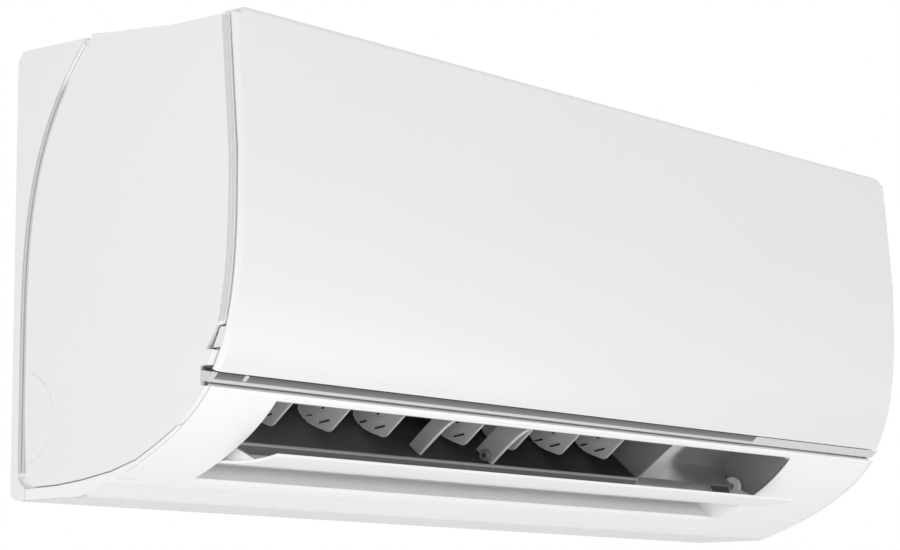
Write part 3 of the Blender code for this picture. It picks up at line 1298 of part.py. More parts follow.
def build_connections():
    """The gas and liquid pipes: from the coil's ends, down into the back channel, to flare nuts."""
    bores = [c for _, start, end, count in COIL_RUNS for c in coil_bores(start, end, count)]
    start_x = DUCT_RIGHT + 0.0220 + GAP
    for name, radius, coil_end, drop_x, y, z, end_x, nut in PIPES:
        first = bores[coil_end]
        corners = [(start_x, *first), (drop_x, *first), (drop_x, y, first[1]), (drop_x, y, z), (end_x, y, z)]
        tube_curve(name, bent_route(corners, PIPE_BEND), radius)
        bm = bmesh.new()
        hole = radius + GAP
        add_turned(bm, [(0.0, hole), (0.0, nut * 0.8), (0.0030, nut), (0.0190, nut), (0.0190, hole)],
                   (end_x + 0.0020, y, z), 12)
        make(name.replace("pipe", "flare_nut"), bm, BRASS)


# Filters and grille

def filter_heights():
    """Where a filter changes slope as it lies along the baffle, from its lower edge up to its bend."""
    step = (BAFFLE_TOP_Z - BAFFLE_LOW_Z) / BAFFLE_STEPS
    return [BAFFLE_LOW_Z + step * i for i in (1, 2, 3, 4, 5)] + [FILTER_BEND_Z]


def filter_spans():
    """Each filter's name and X range."""
    middle = (OUTLET_LEFT + DUCT_RIGHT) / 2
    return (("filter_left", OUTLET_LEFT - 0.0020, middle - FILTER_SPLIT / 2),
            ("filter_right", middle + FILTER_SPLIT / 2, DUCT_RIGHT + 0.0030))


def toward(start, end):
    """The point one filter bar's width along the line from start to end."""
    start, end = Vector(start), Vector(end)
    return tuple(start + (end - start).normalized() * FILTER_BAR)


def build_filters():
    """Two curved filter frames that lie behind the baffle's windows and over the coils."""
    set_in = BAFFLE_SET_IN + BAFFLE_WALL + GAP
    path = [(front_y(z) + set_in, z) for z in filter_heights()]
    corner = (path[-1][0] + FILTER_BEND_R, FILTER_BEND_Z)
    path += arc(corner, FILTER_BEND_R, 180, 100, 3)[1:]
    path += [(FAN_Y - 0.0060, HEIGHT - 0.0175), (REAR_Y - 0.0305, HEIGHT - 0.0155)]
    refined, rows_open = [path[0]], []
    for first, last in ((0, 2), (2, 4), (4, 5), (5, 8), (8, 9), (9, 10)):
        between = path[first + 1:last]
        near, far = toward(path[first], path[first + 1]), toward(path[last], path[last - 1])
        refined += [near] + between + [far, path[last]]
        rows_open += [False] + [True] * (len(between) + 1) + [False]
    for name, low_x, high_x in filter_spans():
        columns, columns_open = bars(low_x, high_x, 3, FILTER_BAR)
        bm = lattice(refined, columns, -FILTER_T, rows_open, columns_open)
        make(name, bm, FILTER_GREY)


def build_top_grille():
    """The air intake grille in the top face."""
    ys, rows_open = bars(-GRILLE_BACK_Y, -GRILLE_FRONT_Y, GRILLE_SLOTS, 0.0060)
    path = [(-y, top_z(-y) - 0.0006) for y in ys]
    columns, columns_open = bars(-(HALF - 0.0081), HALF - 0.0081, GRILLE_COLUMNS, 0.0070)
    bm = lattice(path, columns, GRILLE_T, rows_open, columns_open)
    make("top_grille", bm, CASE_WHITE)


# Right-hand bay: electrical box, board, display, button

def build_electrics():
    """The control box with its lid, board and terminal block, and the display behind the strip."""
    front, back = -(DEPTH - 0.0300), -0.0300
    wall = 0.0022
    bm = bmesh.new()
    add_box(bm, (BOX_LEFT, front, BOX_LOW_Z), (BOX_RIGHT, back, BOX_HIGH_Z))
    box = make("control_box", bm, CASE_WHITE)
    hollow = bmesh.new()
    add_box(hollow, (BOX_LEFT + wall, front - 0.001, BOX_LOW_Z + wall),
            (BOX_RIGHT - wall, back - wall, BOX_HIGH_Z - wall))
    carve(box, hollow, "_hollow")
    shelf = bmesh.new()
    add_box(shelf, (BOX_LEFT + 0.020, back - 0.001, BOX_LOW_Z + 0.030),
            (BOX_RIGHT - 0.020, REAR_Y - WALL - GAP, BOX_LOW_Z + 0.060))
    weld(box, shelf, "_bracket")

    lid = bmesh.new()
    add_box(lid, (BOX_LEFT - 0.0005, front - GAP - 0.0016, BOX_LOW_Z - 0.0005),
            (BOX_RIGHT + 0.0005, front - GAP, BOX_HIGH_Z + 0.0005))
    make("control_box_lid", lid, ZINC_STEEL)

    board = bmesh.new()
    y = back - wall - GAP
    low_z, high_z = BOX_LOW_Z + 0.0400, BOX_HIGH_Z - 0.0080
    add_box(board, (BOX_LEFT + 0.006, y - 0.0016, low_z), (BOX_RIGHT - 0.006, y, high_z))
    main = make("main_board", board, BOARD_GREEN)
    parts = bmesh.new()
    # Transformer, filter coil and relay: distance from the box's left side, height of its foot, size
    for left, low, size in ((0.0160, high_z - 0.0380, (0.0300, 0.0220, 0.0260)),
                            (0.0620, high_z - 0.0320, (0.0200, 0.0160, 0.0140)),
                            (0.0200, low_z + 0.0120, (0.0160, 0.0130, 0.0240))):
        corner = (BOX_LEFT + left, y - size[1], low)
        add_box(parts, corner, (corner[0] + size[0], y - 0.0010, low + size[2]))
    capacitor = (BOX_RIGHT - 0.0300, low_z + 0.0400)
    add_rod(parts, (capacitor[0], y - 0.0010, capacitor[1]), (capacitor[0], y - 0.0300, capacitor[1]),
            0.0100, 14)
    weld(main, parts, "_parts")

    block = bmesh.new()
    block_z = BOX_LOW_Z + wall + GAP
    add_box(block, (BOX_LEFT + 0.030, front + 0.030, block_z),
            (BOX_LEFT + 0.098, front + 0.052, block_z + 0.022))
    terminals = make("terminal_block", block, MOTOR_WHITE)
    slots = bmesh.new()
    for i in range(4):
        x = BOX_LEFT + 0.036 + i * 0.0155
        add_box(slots, (x, front + 0.028, block_z + 0.006), (x + 0.0100, front + 0.040, block_z + 0.026))
    carve(terminals, slots, "_slots")

    display = bmesh.new()
    board_y = SHELF_BACK_Y - GAP
    add_box(display, (STRIP_SPLIT_X - 0.080, board_y - 0.0016, 0.0665),
            (STRIP_SPLIT_X - 0.004, board_y, 0.0750))
    make("display_board", display, BOARD_GREEN)


def build_button():
    """The manual start button in the plate behind the panel, with its switch."""
    plate_y = front_y(BUTTON_Z) + BAFFLE_SET_IN
    bm = bmesh.new()
    add_rod(bm, (0, -0.0020, 0), (0, BAFFLE_WALL + BUTTON_LIFT + 0.0005, 0), BUTTON_R, 16)
    button = make("manual_button", bm, STRIP_GREY, location=(BUTTON_X, plate_y, BUTTON_Z))
    flange = bmesh.new()
    add_rod(flange, (0, BAFFLE_WALL + BUTTON_LIFT, 0), (0, BAFFLE_WALL + BUTTON_LIFT + 0.0010, 0),
            BUTTON_R + 0.0012, 16)
    weld(button, flange, "_flange")
    back = plate_y + BAFFLE_WALL
    switch = bmesh.new()
    add_box(switch, (BUTTON_X - 0.0090, back + 0.0040, BUTTON_Z - 0.0060),
            (BUTTON_X + 0.0090, back + 0.0075, BUTTON_Z + 0.0060))
    holder = make("button_switch", switch, FAN_BLACK)
    legs = bmesh.new()
    for x in (-0.0090, 0.0070):
        add_box(legs, (BUTTON_X + x, back + BUTTON_LEG_GAP, BUTTON_Z - 0.0030),
                (BUTTON_X + x + 0.0020, back + 0.0050, BUTTON_Z + 0.0030))
    weld(holder, legs, "_legs")


def build_drain_spout():
    """The spout that the drain hose pushes on to, in the pipe channel's wall."""
    spout = bmesh.new()
    bore, flange = DRAIN_R - 0.0028, DRAIN_R + 0.0035
    neck, end = -WALL - 0.0030, 0.0180
    add_turned_y(spout, [(neck, bore), (neck, DRAIN_R), (GAP, DRAIN_R), (GAP, flange), (0.0028, flange),
                         (0.0028, DRAIN_R), (end, DRAIN_R - 0.0006), (end, bore)],
                 (DRAIN_X, CHANNEL_Y, DRAIN_Z), 16)
    make("drain_spout", spout, CASE_WHITE)


def build():
    """Builds every piece."""
    build_chassis()
    build_mounting_plate()
    build_side_cover("left_side_cover", -1)
    build_side_cover("right_side_cover", 1)
    build_front_frame()
    build_front_panel()
    half = HALF - 0.0008
    build_strip("display_strip", -half, STRIP_SPLIT_X - GAP / 2, STRIP_SMOKE)
    build_strip("strip_end", STRIP_SPLIT_X + GAP / 2, half, STRIP_GREY)
    build_fan()
    build_fan_mounts()
    build_drain_pan()
    build_duct_fairing()
    build_vanes()
    build_flap()
    build_flap_motor()
    build_coils()
    build_coil_plates()
    build_tube()
    build_connections()
    build_filters()
    build_top_grille()
    build_electrics()
    build_button()
    build_drain_spout()


build()
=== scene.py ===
"""The looks of a wall-mounted air conditioner's indoor unit.

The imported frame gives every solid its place. Each class below is one sub-assembly: it finishes the
frame's own solids and builds the surfaces that show finer than the frame has them. Metres, +Z up, +X to the
right of someone who faces the unit, the wall is the plane y = 0. Sections are (y, z) points.
"""
import logging
import math
from dataclasses import dataclass
from enum import Enum
from typing import Callable

import bmesh
import bpy
from mathutils import Matrix, Vector


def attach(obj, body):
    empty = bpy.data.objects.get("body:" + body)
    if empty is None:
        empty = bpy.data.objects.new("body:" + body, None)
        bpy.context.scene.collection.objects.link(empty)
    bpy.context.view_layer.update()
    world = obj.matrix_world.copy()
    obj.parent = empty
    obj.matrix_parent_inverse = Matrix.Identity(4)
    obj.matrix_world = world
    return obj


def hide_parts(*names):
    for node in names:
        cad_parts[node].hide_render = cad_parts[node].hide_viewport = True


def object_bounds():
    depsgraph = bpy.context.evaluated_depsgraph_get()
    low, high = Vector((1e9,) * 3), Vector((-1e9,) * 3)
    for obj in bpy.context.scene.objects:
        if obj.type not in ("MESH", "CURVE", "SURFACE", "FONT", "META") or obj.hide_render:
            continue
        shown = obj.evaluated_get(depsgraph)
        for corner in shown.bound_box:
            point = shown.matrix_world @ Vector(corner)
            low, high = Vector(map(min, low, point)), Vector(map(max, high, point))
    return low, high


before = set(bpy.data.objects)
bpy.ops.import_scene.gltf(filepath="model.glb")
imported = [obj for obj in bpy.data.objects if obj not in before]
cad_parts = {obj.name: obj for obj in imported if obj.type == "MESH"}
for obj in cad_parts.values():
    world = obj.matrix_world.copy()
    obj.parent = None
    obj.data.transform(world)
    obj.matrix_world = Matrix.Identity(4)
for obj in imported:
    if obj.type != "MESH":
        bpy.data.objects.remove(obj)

CAD_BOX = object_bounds()
LOG = logging.getLogger("air_conditioner")

Point = tuple[float, float]
Line = list[Point]
Place = tuple[float, float, float]
Colour = Place
Socket = bpy.types.NodeSocket

# The unit's outer size, read from the frame
HALF = CAD_BOX[1][0]
DEPTH = -CAD_BOX[0][1]
BASE = CAD_BOX[0][2]
HEIGHT = CAD_BOX[1][2] - CAD_BOX[0][2]


class Grain(Enum):
    """How the fine relief of a finish lies: its lumps per metre, its stretch along X and its detail."""

    SATIN = (1900.0, 1.0, 2.0)
    GLOSS = (16.0, 0.4, 1.0)
    DRAWN = (900.0, 0.03, 3.0)
    CAST = (420.0, 1.0, 4.0)


# The slow drift of colour: lumps per metre, detail
CLOUD = (9.0, 3.0)


def placed(name: str, data: bpy.types.ID) -> bpy.types.Object:
    """Makes an object and puts it in the scene.

    Args:
        name: The object's name.
        data: Its mesh, lamp or camera.

    Returns:
        The object.
    """
    made = bpy.data.objects.new(name, data)
    bpy.context.scene.collection.objects.link(made)
    return made


class NodeBoard:
    """A material's node tree, with short calls for the nodes that the finishes share."""

    def __init__(self, name: str) -> None:
        """Starts an empty material with a shader and an output.

        Args:
            name: The material's name.
        """
        self.material = bpy.data.materials.new(name)
        self.material.use_nodes = True
        self.tree = self.material.node_tree
        self.shader = self.tree.nodes["Principled BSDF"]
        self.places = self.node("TexCoord").outputs["Object"]

    def node(self, kind: str, **values: float | Place) -> bpy.types.Node:
        """Adds a shader node.

        Args:
            kind: Its type, without the prefix.
            values: The values of its inputs, with an underscore for each space.

        Returns:
            The node.
        """
        made = self.tree.nodes.new("ShaderNode" + kind)
        for name, value in values.items():
            made.inputs[name.replace("_", " ")].default_value = value
        return made

    def link(self, source: Socket, target: Socket) -> None:
        """Joins two sockets."""
        self.tree.links.new(source, target)

    def noise(self, scale: float, detail: float = 2.0, along_x: float = 1.0) -> Socket:
        """Gives a soft random pattern fixed to the piece.

        Args:
            scale: Lumps per metre.
            detail: How many finer octaves it has.
            along_x: Below 1 the lumps are drawn out along X.

        Returns:
            The pattern, from 0 to 1.
        """
        stretch = self.node("Mapping", Scale=(along_x, 1.0, 1.0))
        self.link(self.places, stretch.inputs["Vector"])
        node = self.node("TexNoise", Scale=scale, Detail=detail)
        self.link(stretch.outputs["Vector"], node.inputs["Vector"])
        return node.outputs["Fac"]

    def bands(self, pitch: float, direction: str) -> Socket:
        """Gives even parallel bands.

        Args:
            pitch: The distance from band to band.
            direction: The axis across the bands, X, Y or Z.

        Returns:
            The pattern, from 0 to 1.
        """
        node = self.node("TexWave", Scale=2.0 * math.pi / (20.0 * pitch))
        node.bands_direction = direction
        self.link(self.places, node.inputs["Vector"])
        return self.ranged(node.outputs["Fac"], 0.25, 0.75, 0.0, 1.0)

    def ranged(self, value: Socket, low: float, high: float,
               new_low: float, new_high: float, smooth: bool = False) -> Socket:
        """Maps a value from one range to another.

        Args:
            value: The value to map.
            low: Where the first range starts.
            high: Where the first range ends.
            new_low: Where the new range starts.
            new_high: Where the new range ends.
            smooth: Whether the value eases in and out.

        Returns:
            The mapped value.
        """
        node = self.node("MapRange", From_Min=low, From_Max=high, To_Min=new_low, To_Max=new_high)
        if smooth:
            node.interpolation_type = "SMOOTHSTEP"
        self.link(value, node.inputs["Value"])
        return node.outputs["Result"]

    def mixed(self, share: Socket, first: Colour | Socket,
              second: Colour | Socket) -> Socket:
        """Mixes two colours.

        Args:
            share: How much of the second colour shows.
            first: A colour, or a socket that gives one.
            second: A colour, or a socket that gives one.

        Returns:
            The mixed colour.
        """
        node = self.node("Mix")
        node.data_type = "RGBA"
        self.link(share, node.inputs["Factor"])
        for name, colour in (("A", first), ("B", second)):
            socket = next(s for s in node.inputs if s.name == name and s.type == "RGBA")
            if isinstance(colour, tuple):
                socket.default_value = (*colour, 1.0)
            else:
                self.link(colour, socket)
        return next(s for s in node.outputs if s.type == "RGBA")

    def relief(self, pattern: Socket, strength: float, height: float) -> None:
        """Presses a pattern into the shader's surface normal.

        Args:
            pattern: The pattern's height, from 0 to 1.
            strength: How much of it shows.
            height: The height of the pattern in metres.
        """
        node = self.node("Bump", Strength=strength, Distance=height)
        self.link(pattern, node.inputs["Height"])
        self.link(node.outputs["Normal"], self.shader.inputs["Normal"])


@dataclass(frozen=True)
class Finish:
    """A moulded or metal surface: a colour that drifts a little, a grain, and an uneven gloss."""

    slot: str
    colour: Colour
    roughness: float
    metallic: float = 0.0
    grain: Grain = Grain.SATIN
    drift: float = 0.02
    relief: float = 0.06
    coat: float = 0.0
    name: str = ""

    def material(self) -> bpy.types.Material:
        """Gives this finish's material, made once.

        Returns:
            The material.
        """
        name = self.name or self.slot + "_finish"
        made = bpy.data.materials.get(name)
        if made:
            return made
        board = NodeBoard(name)
        self.paint(board)
        return board.material

    def paint(self, board: NodeBoard) -> None:
        """Sets the shader's values and patterns.

        Args:
            board: The material's node board.
        """
        shader = board.shader
        shader.inputs["Metallic"].default_value = self.metallic
        shader.inputs["Coat Weight"].default_value = self.coat
        shader.inputs["Coat Roughness"].default_value = 0.08
        darker = tuple(c * (1.0 - self.drift) for c in self.colour)
        lighter = tuple(min(1.0, c * (1.0 + self.drift)) for c in self.colour)
        cloud = board.noise(*CLOUD)
        board.link(board.mixed(cloud, darker, lighter), shader.inputs["Base Color"])
        scale, along_x, detail = self.grain.value
        grain = board.noise(scale, detail, along_x)
        rough = board.ranged(grain, 0.3, 0.7, self.roughness * 0.88, self.roughness * 1.12)
        board.link(rough, shader.inputs["Roughness"])
        board.relief(grain, self.relief, 0.0004 if self.grain is Grain.GLOSS else 0.00008)


@dataclass(frozen=True)
class FinStock(Finish):
    """Stacked aluminium fins: dark gaps at an even pitch along X."""

    pitch: float = 0.0016
    gap_colour: Colour = (0.06, 0.06, 0.065)

    def paint(self, board: NodeBoard) -> None:
        """Sets the fins' stripes, gloss and relief.

        Args:
            board: The material's node board.
        """
        super().paint(board)
        stripes = board.bands(self.pitch, "X")
        shade = board.mixed(stripes, self.gap_colour, self.colour)
        board.link(shade, board.shader.inputs["Base Color"])
        board.relief(stripes, 0.6, self.pitch / 3.0)


@dataclass(frozen=True)
class Weave(Finish):
    """A fine net: threads both ways over darker holes."""

    pitch: float = 0.0018
    hole_colour: Colour = (0.05, 0.055, 0.06)

    def paint(self, board: NodeBoard) -> None:
        """Sets the net's threads, gloss and relief.

        Args:
            board: The material's node board.
        """
        super().paint(board)
        across = board.bands(self.pitch, "X")
        along = board.bands(self.pitch, "DIAGONAL")
        node = board.node("Math")
        node.operation = "MAXIMUM"
        board.link(across, node.inputs[0])
        board.link(along, node.inputs[1])
        threads = node.outputs["Value"]
        shade = board.mixed(threads, self.hole_colour, self.colour)
        board.link(shade, board.shader.inputs["Base Color"])
        board.relief(threads, 0.5, self.pitch / 4.0)


@dataclass(frozen=True)
class CircuitBoard(Finish):
    """A green board with copper tracks under its lacquer."""

    track_colour: Colour = (0.10, 0.34, 0.16)

    def paint(self, board: NodeBoard) -> None:
        """Sets the board's tracks and gloss.

        Args:
            board: The material's node board.
        """
        super().paint(board)
        lacquer, tracks = (*self.colour, 1.0), (*self.track_colour, 1.0)
        node = board.node("TexBrick", Scale=60.0, Mortar_Size=0.05, Color1=lacquer, Color2=lacquer,
                          Mortar=tracks)
        board.link(board.places, node.inputs["Vector"])
        board.link(node.outputs["Color"], board.shader.inputs["Base Color"])


@dataclass(frozen=True)
class Fading(Finish):
    """A finish whose colour runs into a second one along an axis of the unit."""

    second: Colour = (0.5, 0.5, 0.5)
    axis: str = "X"
    start: float = 0.0
    end: float = 0.1

    def paint(self, board: NodeBoard) -> None:
        """Sets the finish and its run of colour.

        Args:
            board: The material's node board.
        """
        super().paint(board)
        node = board.node("SeparateXYZ")
        board.link(board.places, node.inputs["Vector"])
        ramp = board.ranged(node.outputs[self.axis], self.start, self.end, 0.0, 1.0, smooth=True)
        cloud = board.noise(*CLOUD)
        darker = tuple(c * (1.0 - self.drift) for c in self.colour)
        near = board.mixed(cloud, darker, self.colour)
        board.link(board.mixed(ramp, near, self.second), board.shader.inputs["Base Color"])


CASE = Finish("case_white", (0.85, 0.85, 0.85), 0.38, drift=0.012)
PANEL = Finish("panel_white", (0.80, 0.80, 0.80), 0.24, grain=Grain.GLOSS, relief=0.03, drift=0.01,
               coat=0.15)
# Painted light: the front frame's white is lighter than the case's white, standing for the light from below,
# and a touch lighter still towards the right
FRAME_PAINTED_LIGHT = Fading("case_white", (0.90, 0.90, 0.90), 0.36, drift=0.01, second=(0.91, 0.91, 0.91),
               start=-0.4, end=0.4, name="frame_painted_light_finish")
# Painted light: the flap's white is lighter than the panel's white, standing for the light from below, and a
# touch lighter towards the right
FLAP_PAINTED_LIGHT = Fading("panel_white", (0.92, 0.92, 0.92), 0.26, grain=Grain.GLOSS, relief=0.03, drift=0.008,
              second=(0.93, 0.93, 0.93), start=-0.33, end=0.27, name="flap_painted_light_finish")
SMOKE = Fading("strip_smoke", (0.22, 0.22, 0.22), 0.22, grain=Grain.GLOSS, relief=0.05, coat=0.3,
               second=(0.095, 0.095, 0.098), axis="Z", start=BASE + 0.0668, end=BASE + 0.0706,
               name="strip_smoke_finish")
STRIP = Finish("strip_grey", (0.66, 0.66, 0.66), 0.30, grain=Grain.GLOSS, relief=0.04)
STRIP_BAND = Finish("strip_grey", (0.62, 0.62, 0.62), 0.25, grain=Grain.GLOSS, relief=0.04, coat=0.3,
                    name="strip_band_finish")
TRIM = Finish("case_white", (0.64, 0.64, 0.64), 0.22, grain=Grain.GLOSS, relief=0.04, coat=0.4,
              name="front_trim_finish")
# Painted highlight: the rear trim runs from grey into white towards its top
TRIM_PAINTED_HIGHLIGHT = Fading("case_white", (0.62, 0.62, 0.62), 0.16, grain=Grain.GLOSS, relief=0.04, coat=0.5,
                   second=(0.95, 0.95, 0.95), axis="Z", start=BASE + 0.262, end=BASE + 0.275,
                   name="rear_trim_painted_highlight_finish")
VANE = Finish("vane_grey", (0.84, 0.84, 0.842), 0.42, drift=0.05)
# Painted highlight: vane rims, vane ridges and rib front edges are a lighter copy of the vane grey
VANE_RIM_HIGHLIGHT = Finish("vane_grey", (0.94, 0.94, 0.942), 0.32, drift=0.02, name="vane_rim_painted_highlight_finish")
RIB = Finish("case_white", (0.52, 0.52, 0.525), 0.40, drift=0.05, name="rib_finish")
# Charcoal duct plastic, with painted shade: it darkens towards the right
DUCT_CHARCOAL_AND_SHADE = Fading("case_white", (0.150, 0.150, 0.153), 0.55, grain=Grain.DRAWN, drift=0.12,
              second=(0.030, 0.030, 0.031), start=-0.30, end=0.02, name="duct_charcoal_and_painted_shade_finish")
# Painted shade: a mid grey for the duct's right end wall and the apron under its lip
DUCT_END_SHADE = Finish("case_white", (0.30, 0.30, 0.305), 0.50, drift=0.06, name="duct_end_painted_shade_finish")
# Painted highlight: the duct's lip is a lighter grey than the charcoal duct
LIP_HIGHLIGHT = Finish("case_white", (0.55, 0.55, 0.555), 0.35, drift=0.04, name="lip_painted_highlight_finish")
DARK = Finish("case_white", (0.05, 0.05, 0.052), 0.60, drift=0.05, name="dark_gap_finish")
# Painted shade: the fairing's pale grey darkens towards the outlet's right end
FAIRING_PAINTED_SHADE = Fading("case_white", (0.74, 0.74, 0.74), 0.42, drift=0.03,
                 second=(0.27, 0.27, 0.272), start=0.166, end=0.212, name="fairing_painted_shade_finish")
# Painted shade: a dark grey for the outlet's right end wall and the rib's screw boss
NICHE_SHADE = Finish("case_white", (0.28, 0.28, 0.283), 0.45, drift=0.06, name="niche_painted_shade_finish")
FAN = Finish("fan_black", (0.030, 0.030, 0.032), 0.45, drift=0.10)
COPPER = Finish("copper", (0.78, 0.40, 0.24), 0.30, 1.0, Grain.DRAWN, drift=0.12, relief=0.12)
BRASS = Finish("brass", (0.78, 0.60, 0.30), 0.28, 1.0, Grain.DRAWN, drift=0.06, relief=0.08)
FINS = FinStock("aluminium", (0.80, 0.81, 0.82), 0.35, 1.0, Grain.DRAWN)
ZINC = Finish("zinc_steel", (0.62, 0.63, 0.65), 0.38, 1.0, Grain.CAST, drift=0.10, relief=0.10)
RUBBER = Finish("rubber", (0.04, 0.04, 0.042), 0.80, grain=Grain.CAST, relief=0.15)
BOARD = CircuitBoard("board_green", (0.03, 0.20, 0.09), 0.35, coat=0.4)
NET = Weave("filter_grey", (0.42, 0.45, 0.48), 0.65)
MOTOR = Finish("motor_white", (0.70, 0.70, 0.68), 0.45, grain=Grain.CAST, relief=0.08)


class Section:
    """The unit's side profile and the lines of its duct, as (y, z) points with z from the underside."""

    BELLY = 0.180
    CREASE = 0.208
    LEAN = math.radians(4.5)
    SQUARE = 0.160
    FIFTH = 0.529
    FLOOR_LIP = Vector((-0.1240, 0.0362))
    SLOPE = math.radians(41.0)
    FAN = Vector((-0.0920, 0.1320))
    FAN_RADIUS = 0.0460

    @classmethod
    def front(cls, z: float) -> float:
        """Gives the outer front surface's y.

        Args:
            z: The height.

        Returns:
            The y.
        """
        if z > cls.CREASE:
            return -DEPTH + (z - cls.CREASE) * math.tan(cls.LEAN)
        t = max(0.0, (cls.BELLY - z) / cls.BELLY)
        return -DEPTH * (1.0 - cls.SQUARE * t ** 2 - cls.FIFTH * t ** 5)

    @classmethod
    def front_line(cls, high: float, low: float, steps: int, inset: float = 0.0) -> Line:
        """Gives points down the front surface from one height to another, moved straight back."""
        heights = [high + (low - high) * i / steps for i in range(steps + 1)]
        return [(cls.front(z) + inset, z) for z in heights]

    @staticmethod
    def joint(z: float) -> float:
        """Gives the y of the joint between the rear casing and a side cover at height z."""
        s = max(0.0, (z - 0.080) / (HEIGHT - 0.085))
        return -(0.0112 + 0.0568 * s ** 3.5)

    @classmethod
    def floor(cls, distance: float, lift: float = 0.0) -> Point:
        """Gives a point on the duct's floor.

        Args:
            distance: How far it is behind the lip, along the floor.
            lift: How far it is above the floor.

        Returns:
            The point.
        """
        along = Vector((math.cos(cls.SLOPE), math.sin(cls.SLOPE)))
        up = Vector((-along.y, along.x))
        return tuple(cls.FLOOR_LIP + along * distance + up * lift)

    @classmethod
    def scroll_radius(cls) -> float:
        """Gives the radius of the scroll that runs on from the duct's floor."""
        away = cls.FAN - cls.FLOOR_LIP
        return away.y * math.cos(cls.SLOPE) - away.x * math.sin(cls.SLOPE)

    @staticmethod
    def arc(centre: Point, radius: float, start: float, end: float, steps: int) -> Line:
        """Gives points on a circle from one angle in degrees to another."""
        angles = [math.radians(start + (end - start) * i / steps) for i in range(steps + 1)]
        return [(centre[0] + radius * math.cos(a), centre[1] + radius * math.sin(a)) for a in angles]

    @staticmethod
    def offset(line: Line, distance: float) -> Line:
        """Moves an open line to its left.

        Args:
            line: The line's points.
            distance: How far it moves.

        Returns:
            The moved line.
        """
        moved = []
        for i, place in enumerate(line):
            before, after = Vector(line[max(i - 1, 0)]), Vector(line[min(i + 1, len(line) - 1)])
            along = (after - before).normalized()
            moved.append((place[0] - along.y * distance, place[1] + along.x * distance))
        return moved


class Duct:
    """The outlet duct's own axes: along its upper wall, and from that wall towards its floor."""

    LEFT = -0.332
    RIGHT = 0.130
    OUTLET_RIGHT = 0.275
    UPPER_LOW = Vector((Section.front(0.0585) + 0.0085, 0.0625))
    UPPER_HIGH = Vector(Section.arc(tuple(Section.FAN), Section.FAN_RADIUS + 0.0045, 215, 216, 1)[0])
    ALONG = (UPPER_HIGH - UPPER_LOW).normalized()
    INTO = Vector((ALONG.y, -ALONG.x))
    SPAN = (LEFT + 0.0008, RIGHT + 0.0012)
    ROOT = UPPER_LOW + ALONG * 0.0250

    @classmethod
    def point(cls, along: float, into: float) -> Point:
        """Gives the (y, z) of a place upstream of the vanes' roots and away from the upper wall."""
        return tuple(cls.ROOT + cls.ALONG * along + cls.INTO * into)

    @classmethod
    def depth(cls, along: float) -> float:
        """Gives the distance from the upper wall to the floor.

        Args:
            along: How far upstream of the vanes' roots.

        Returns:
            The distance.
        """
        up = Vector((-math.sin(Section.SLOPE), math.cos(Section.SLOPE)))
        above = cls.ROOT + cls.ALONG * along - Section.FLOOR_LIP
        return above.dot(up) / -cls.INTO.dot(up)


class Rounding:
    """The modifiers that give one of the frame's solids rounded edges and clean shading."""

    MERGE = 0.00001
    FLAT_ANGLE = math.radians(0.8)
    SMOOTH_ANGLE = math.radians(32.0)

    @classmethod
    def smooth_group(cls) -> bpy.types.NodeTree:
        """Gives the node group that shades smooth across shallow edges only, made once.

        Returns:
            The geometry node group.
        """
        name = "smooth_by_angle"
        made = bpy.data.node_groups.get(name)
        if made:
            return made
        group = bpy.data.node_groups.new(name, "GeometryNodeTree")
        for way in ("INPUT", "OUTPUT"):
            group.interface.new_socket("Geometry", in_out=way, socket_type="NodeSocketGeometry")
        add, join = group.nodes.new, group.links.new
        start, end = add("NodeGroupInput"), add("NodeGroupOutput")
        faces, edges = add("GeometryNodeSetShadeSmooth"), add("GeometryNodeSetShadeSmooth")
        faces.domain = "FACE"
        edges.domain = "EDGE"
        angle = add("GeometryNodeInputMeshEdgeAngle")
        below = add("FunctionNodeCompare")
        below.operation = "LESS_THAN"
        below.inputs["B"].default_value = cls.SMOOTH_ANGLE
        join(start.outputs[0], faces.inputs["Geometry"])
        join(faces.outputs["Geometry"], edges.inputs["Geometry"])
        join(angle.outputs["Unsigned Angle"], below.inputs["A"])
        join(below.outputs["Result"], edges.inputs["Shade Smooth"])
        join(edges.outputs["Geometry"], end.inputs[0])
        return group

    @classmethod
    def shade(cls, piece: bpy.types.Object) -> None:
        """Shades a piece smooth where its faces meet at a shallow angle.

        Args:
            piece: The object to shade.
        """
        shading = piece.modifiers.new("smooth_by_angle", "NODES")
        shading.node_group = cls.smooth_group()
        weighted = piece.modifiers.new("even_normals", "WEIGHTED_NORMAL")
        weighted.keep_sharp = True

    @classmethod
    def apply(cls, piece: bpy.types.Object, radius: float) -> None:
        """Joins a solid's split corners, rounds its sharp edges and shades it.

        Args:
            piece: The object to round.
            radius: The width of the rounded edge.
        """
        join = piece.modifiers.new("join", "WELD")
        join.merge_threshold = cls.MERGE
        flat = piece.modifiers.new("flat_faces", "DECIMATE")
        flat.decimate_type = "DISSOLVE"
        flat.angle_limit = cls.FLAT_ANGLE
        if radius:
            cls.edges(piece, radius)
        cls.shade(piece)

    @staticmethod
    def edges(piece: bpy.types.Object, radius: float) -> None:
        """Rounds a piece's sharp edges.

        Args:
            piece: The object to round.
            radius: The width of the rounded edge.
        """
        edge = piece.modifiers.new("rounded_edges", "BEVEL")
        edge.width = radius
        edge.segments = 2
        edge.limit_method = "ANGLE"
        edge.angle_limit = math.radians(36.0)
        edge.use_clamp_overlap = True


def dress(node: str, finish: Finish, radius: float = 0.0) -> None:
    """Gives one of the frame's solids its finish and rounded edges.

    Args:
        node: The solid's name in the frame.
        finish: The finish that it gets.
        radius: The width of its rounded edges.
    """
    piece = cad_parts[node]
    material = finish.material()
    if not piece.data.materials:
        piece.data.materials.append(material)
    for place in piece.material_slots:
        place.material = material
    Rounding.apply(piece, radius)
    LOG.info("dressed %s in %s", node, finish.slot)


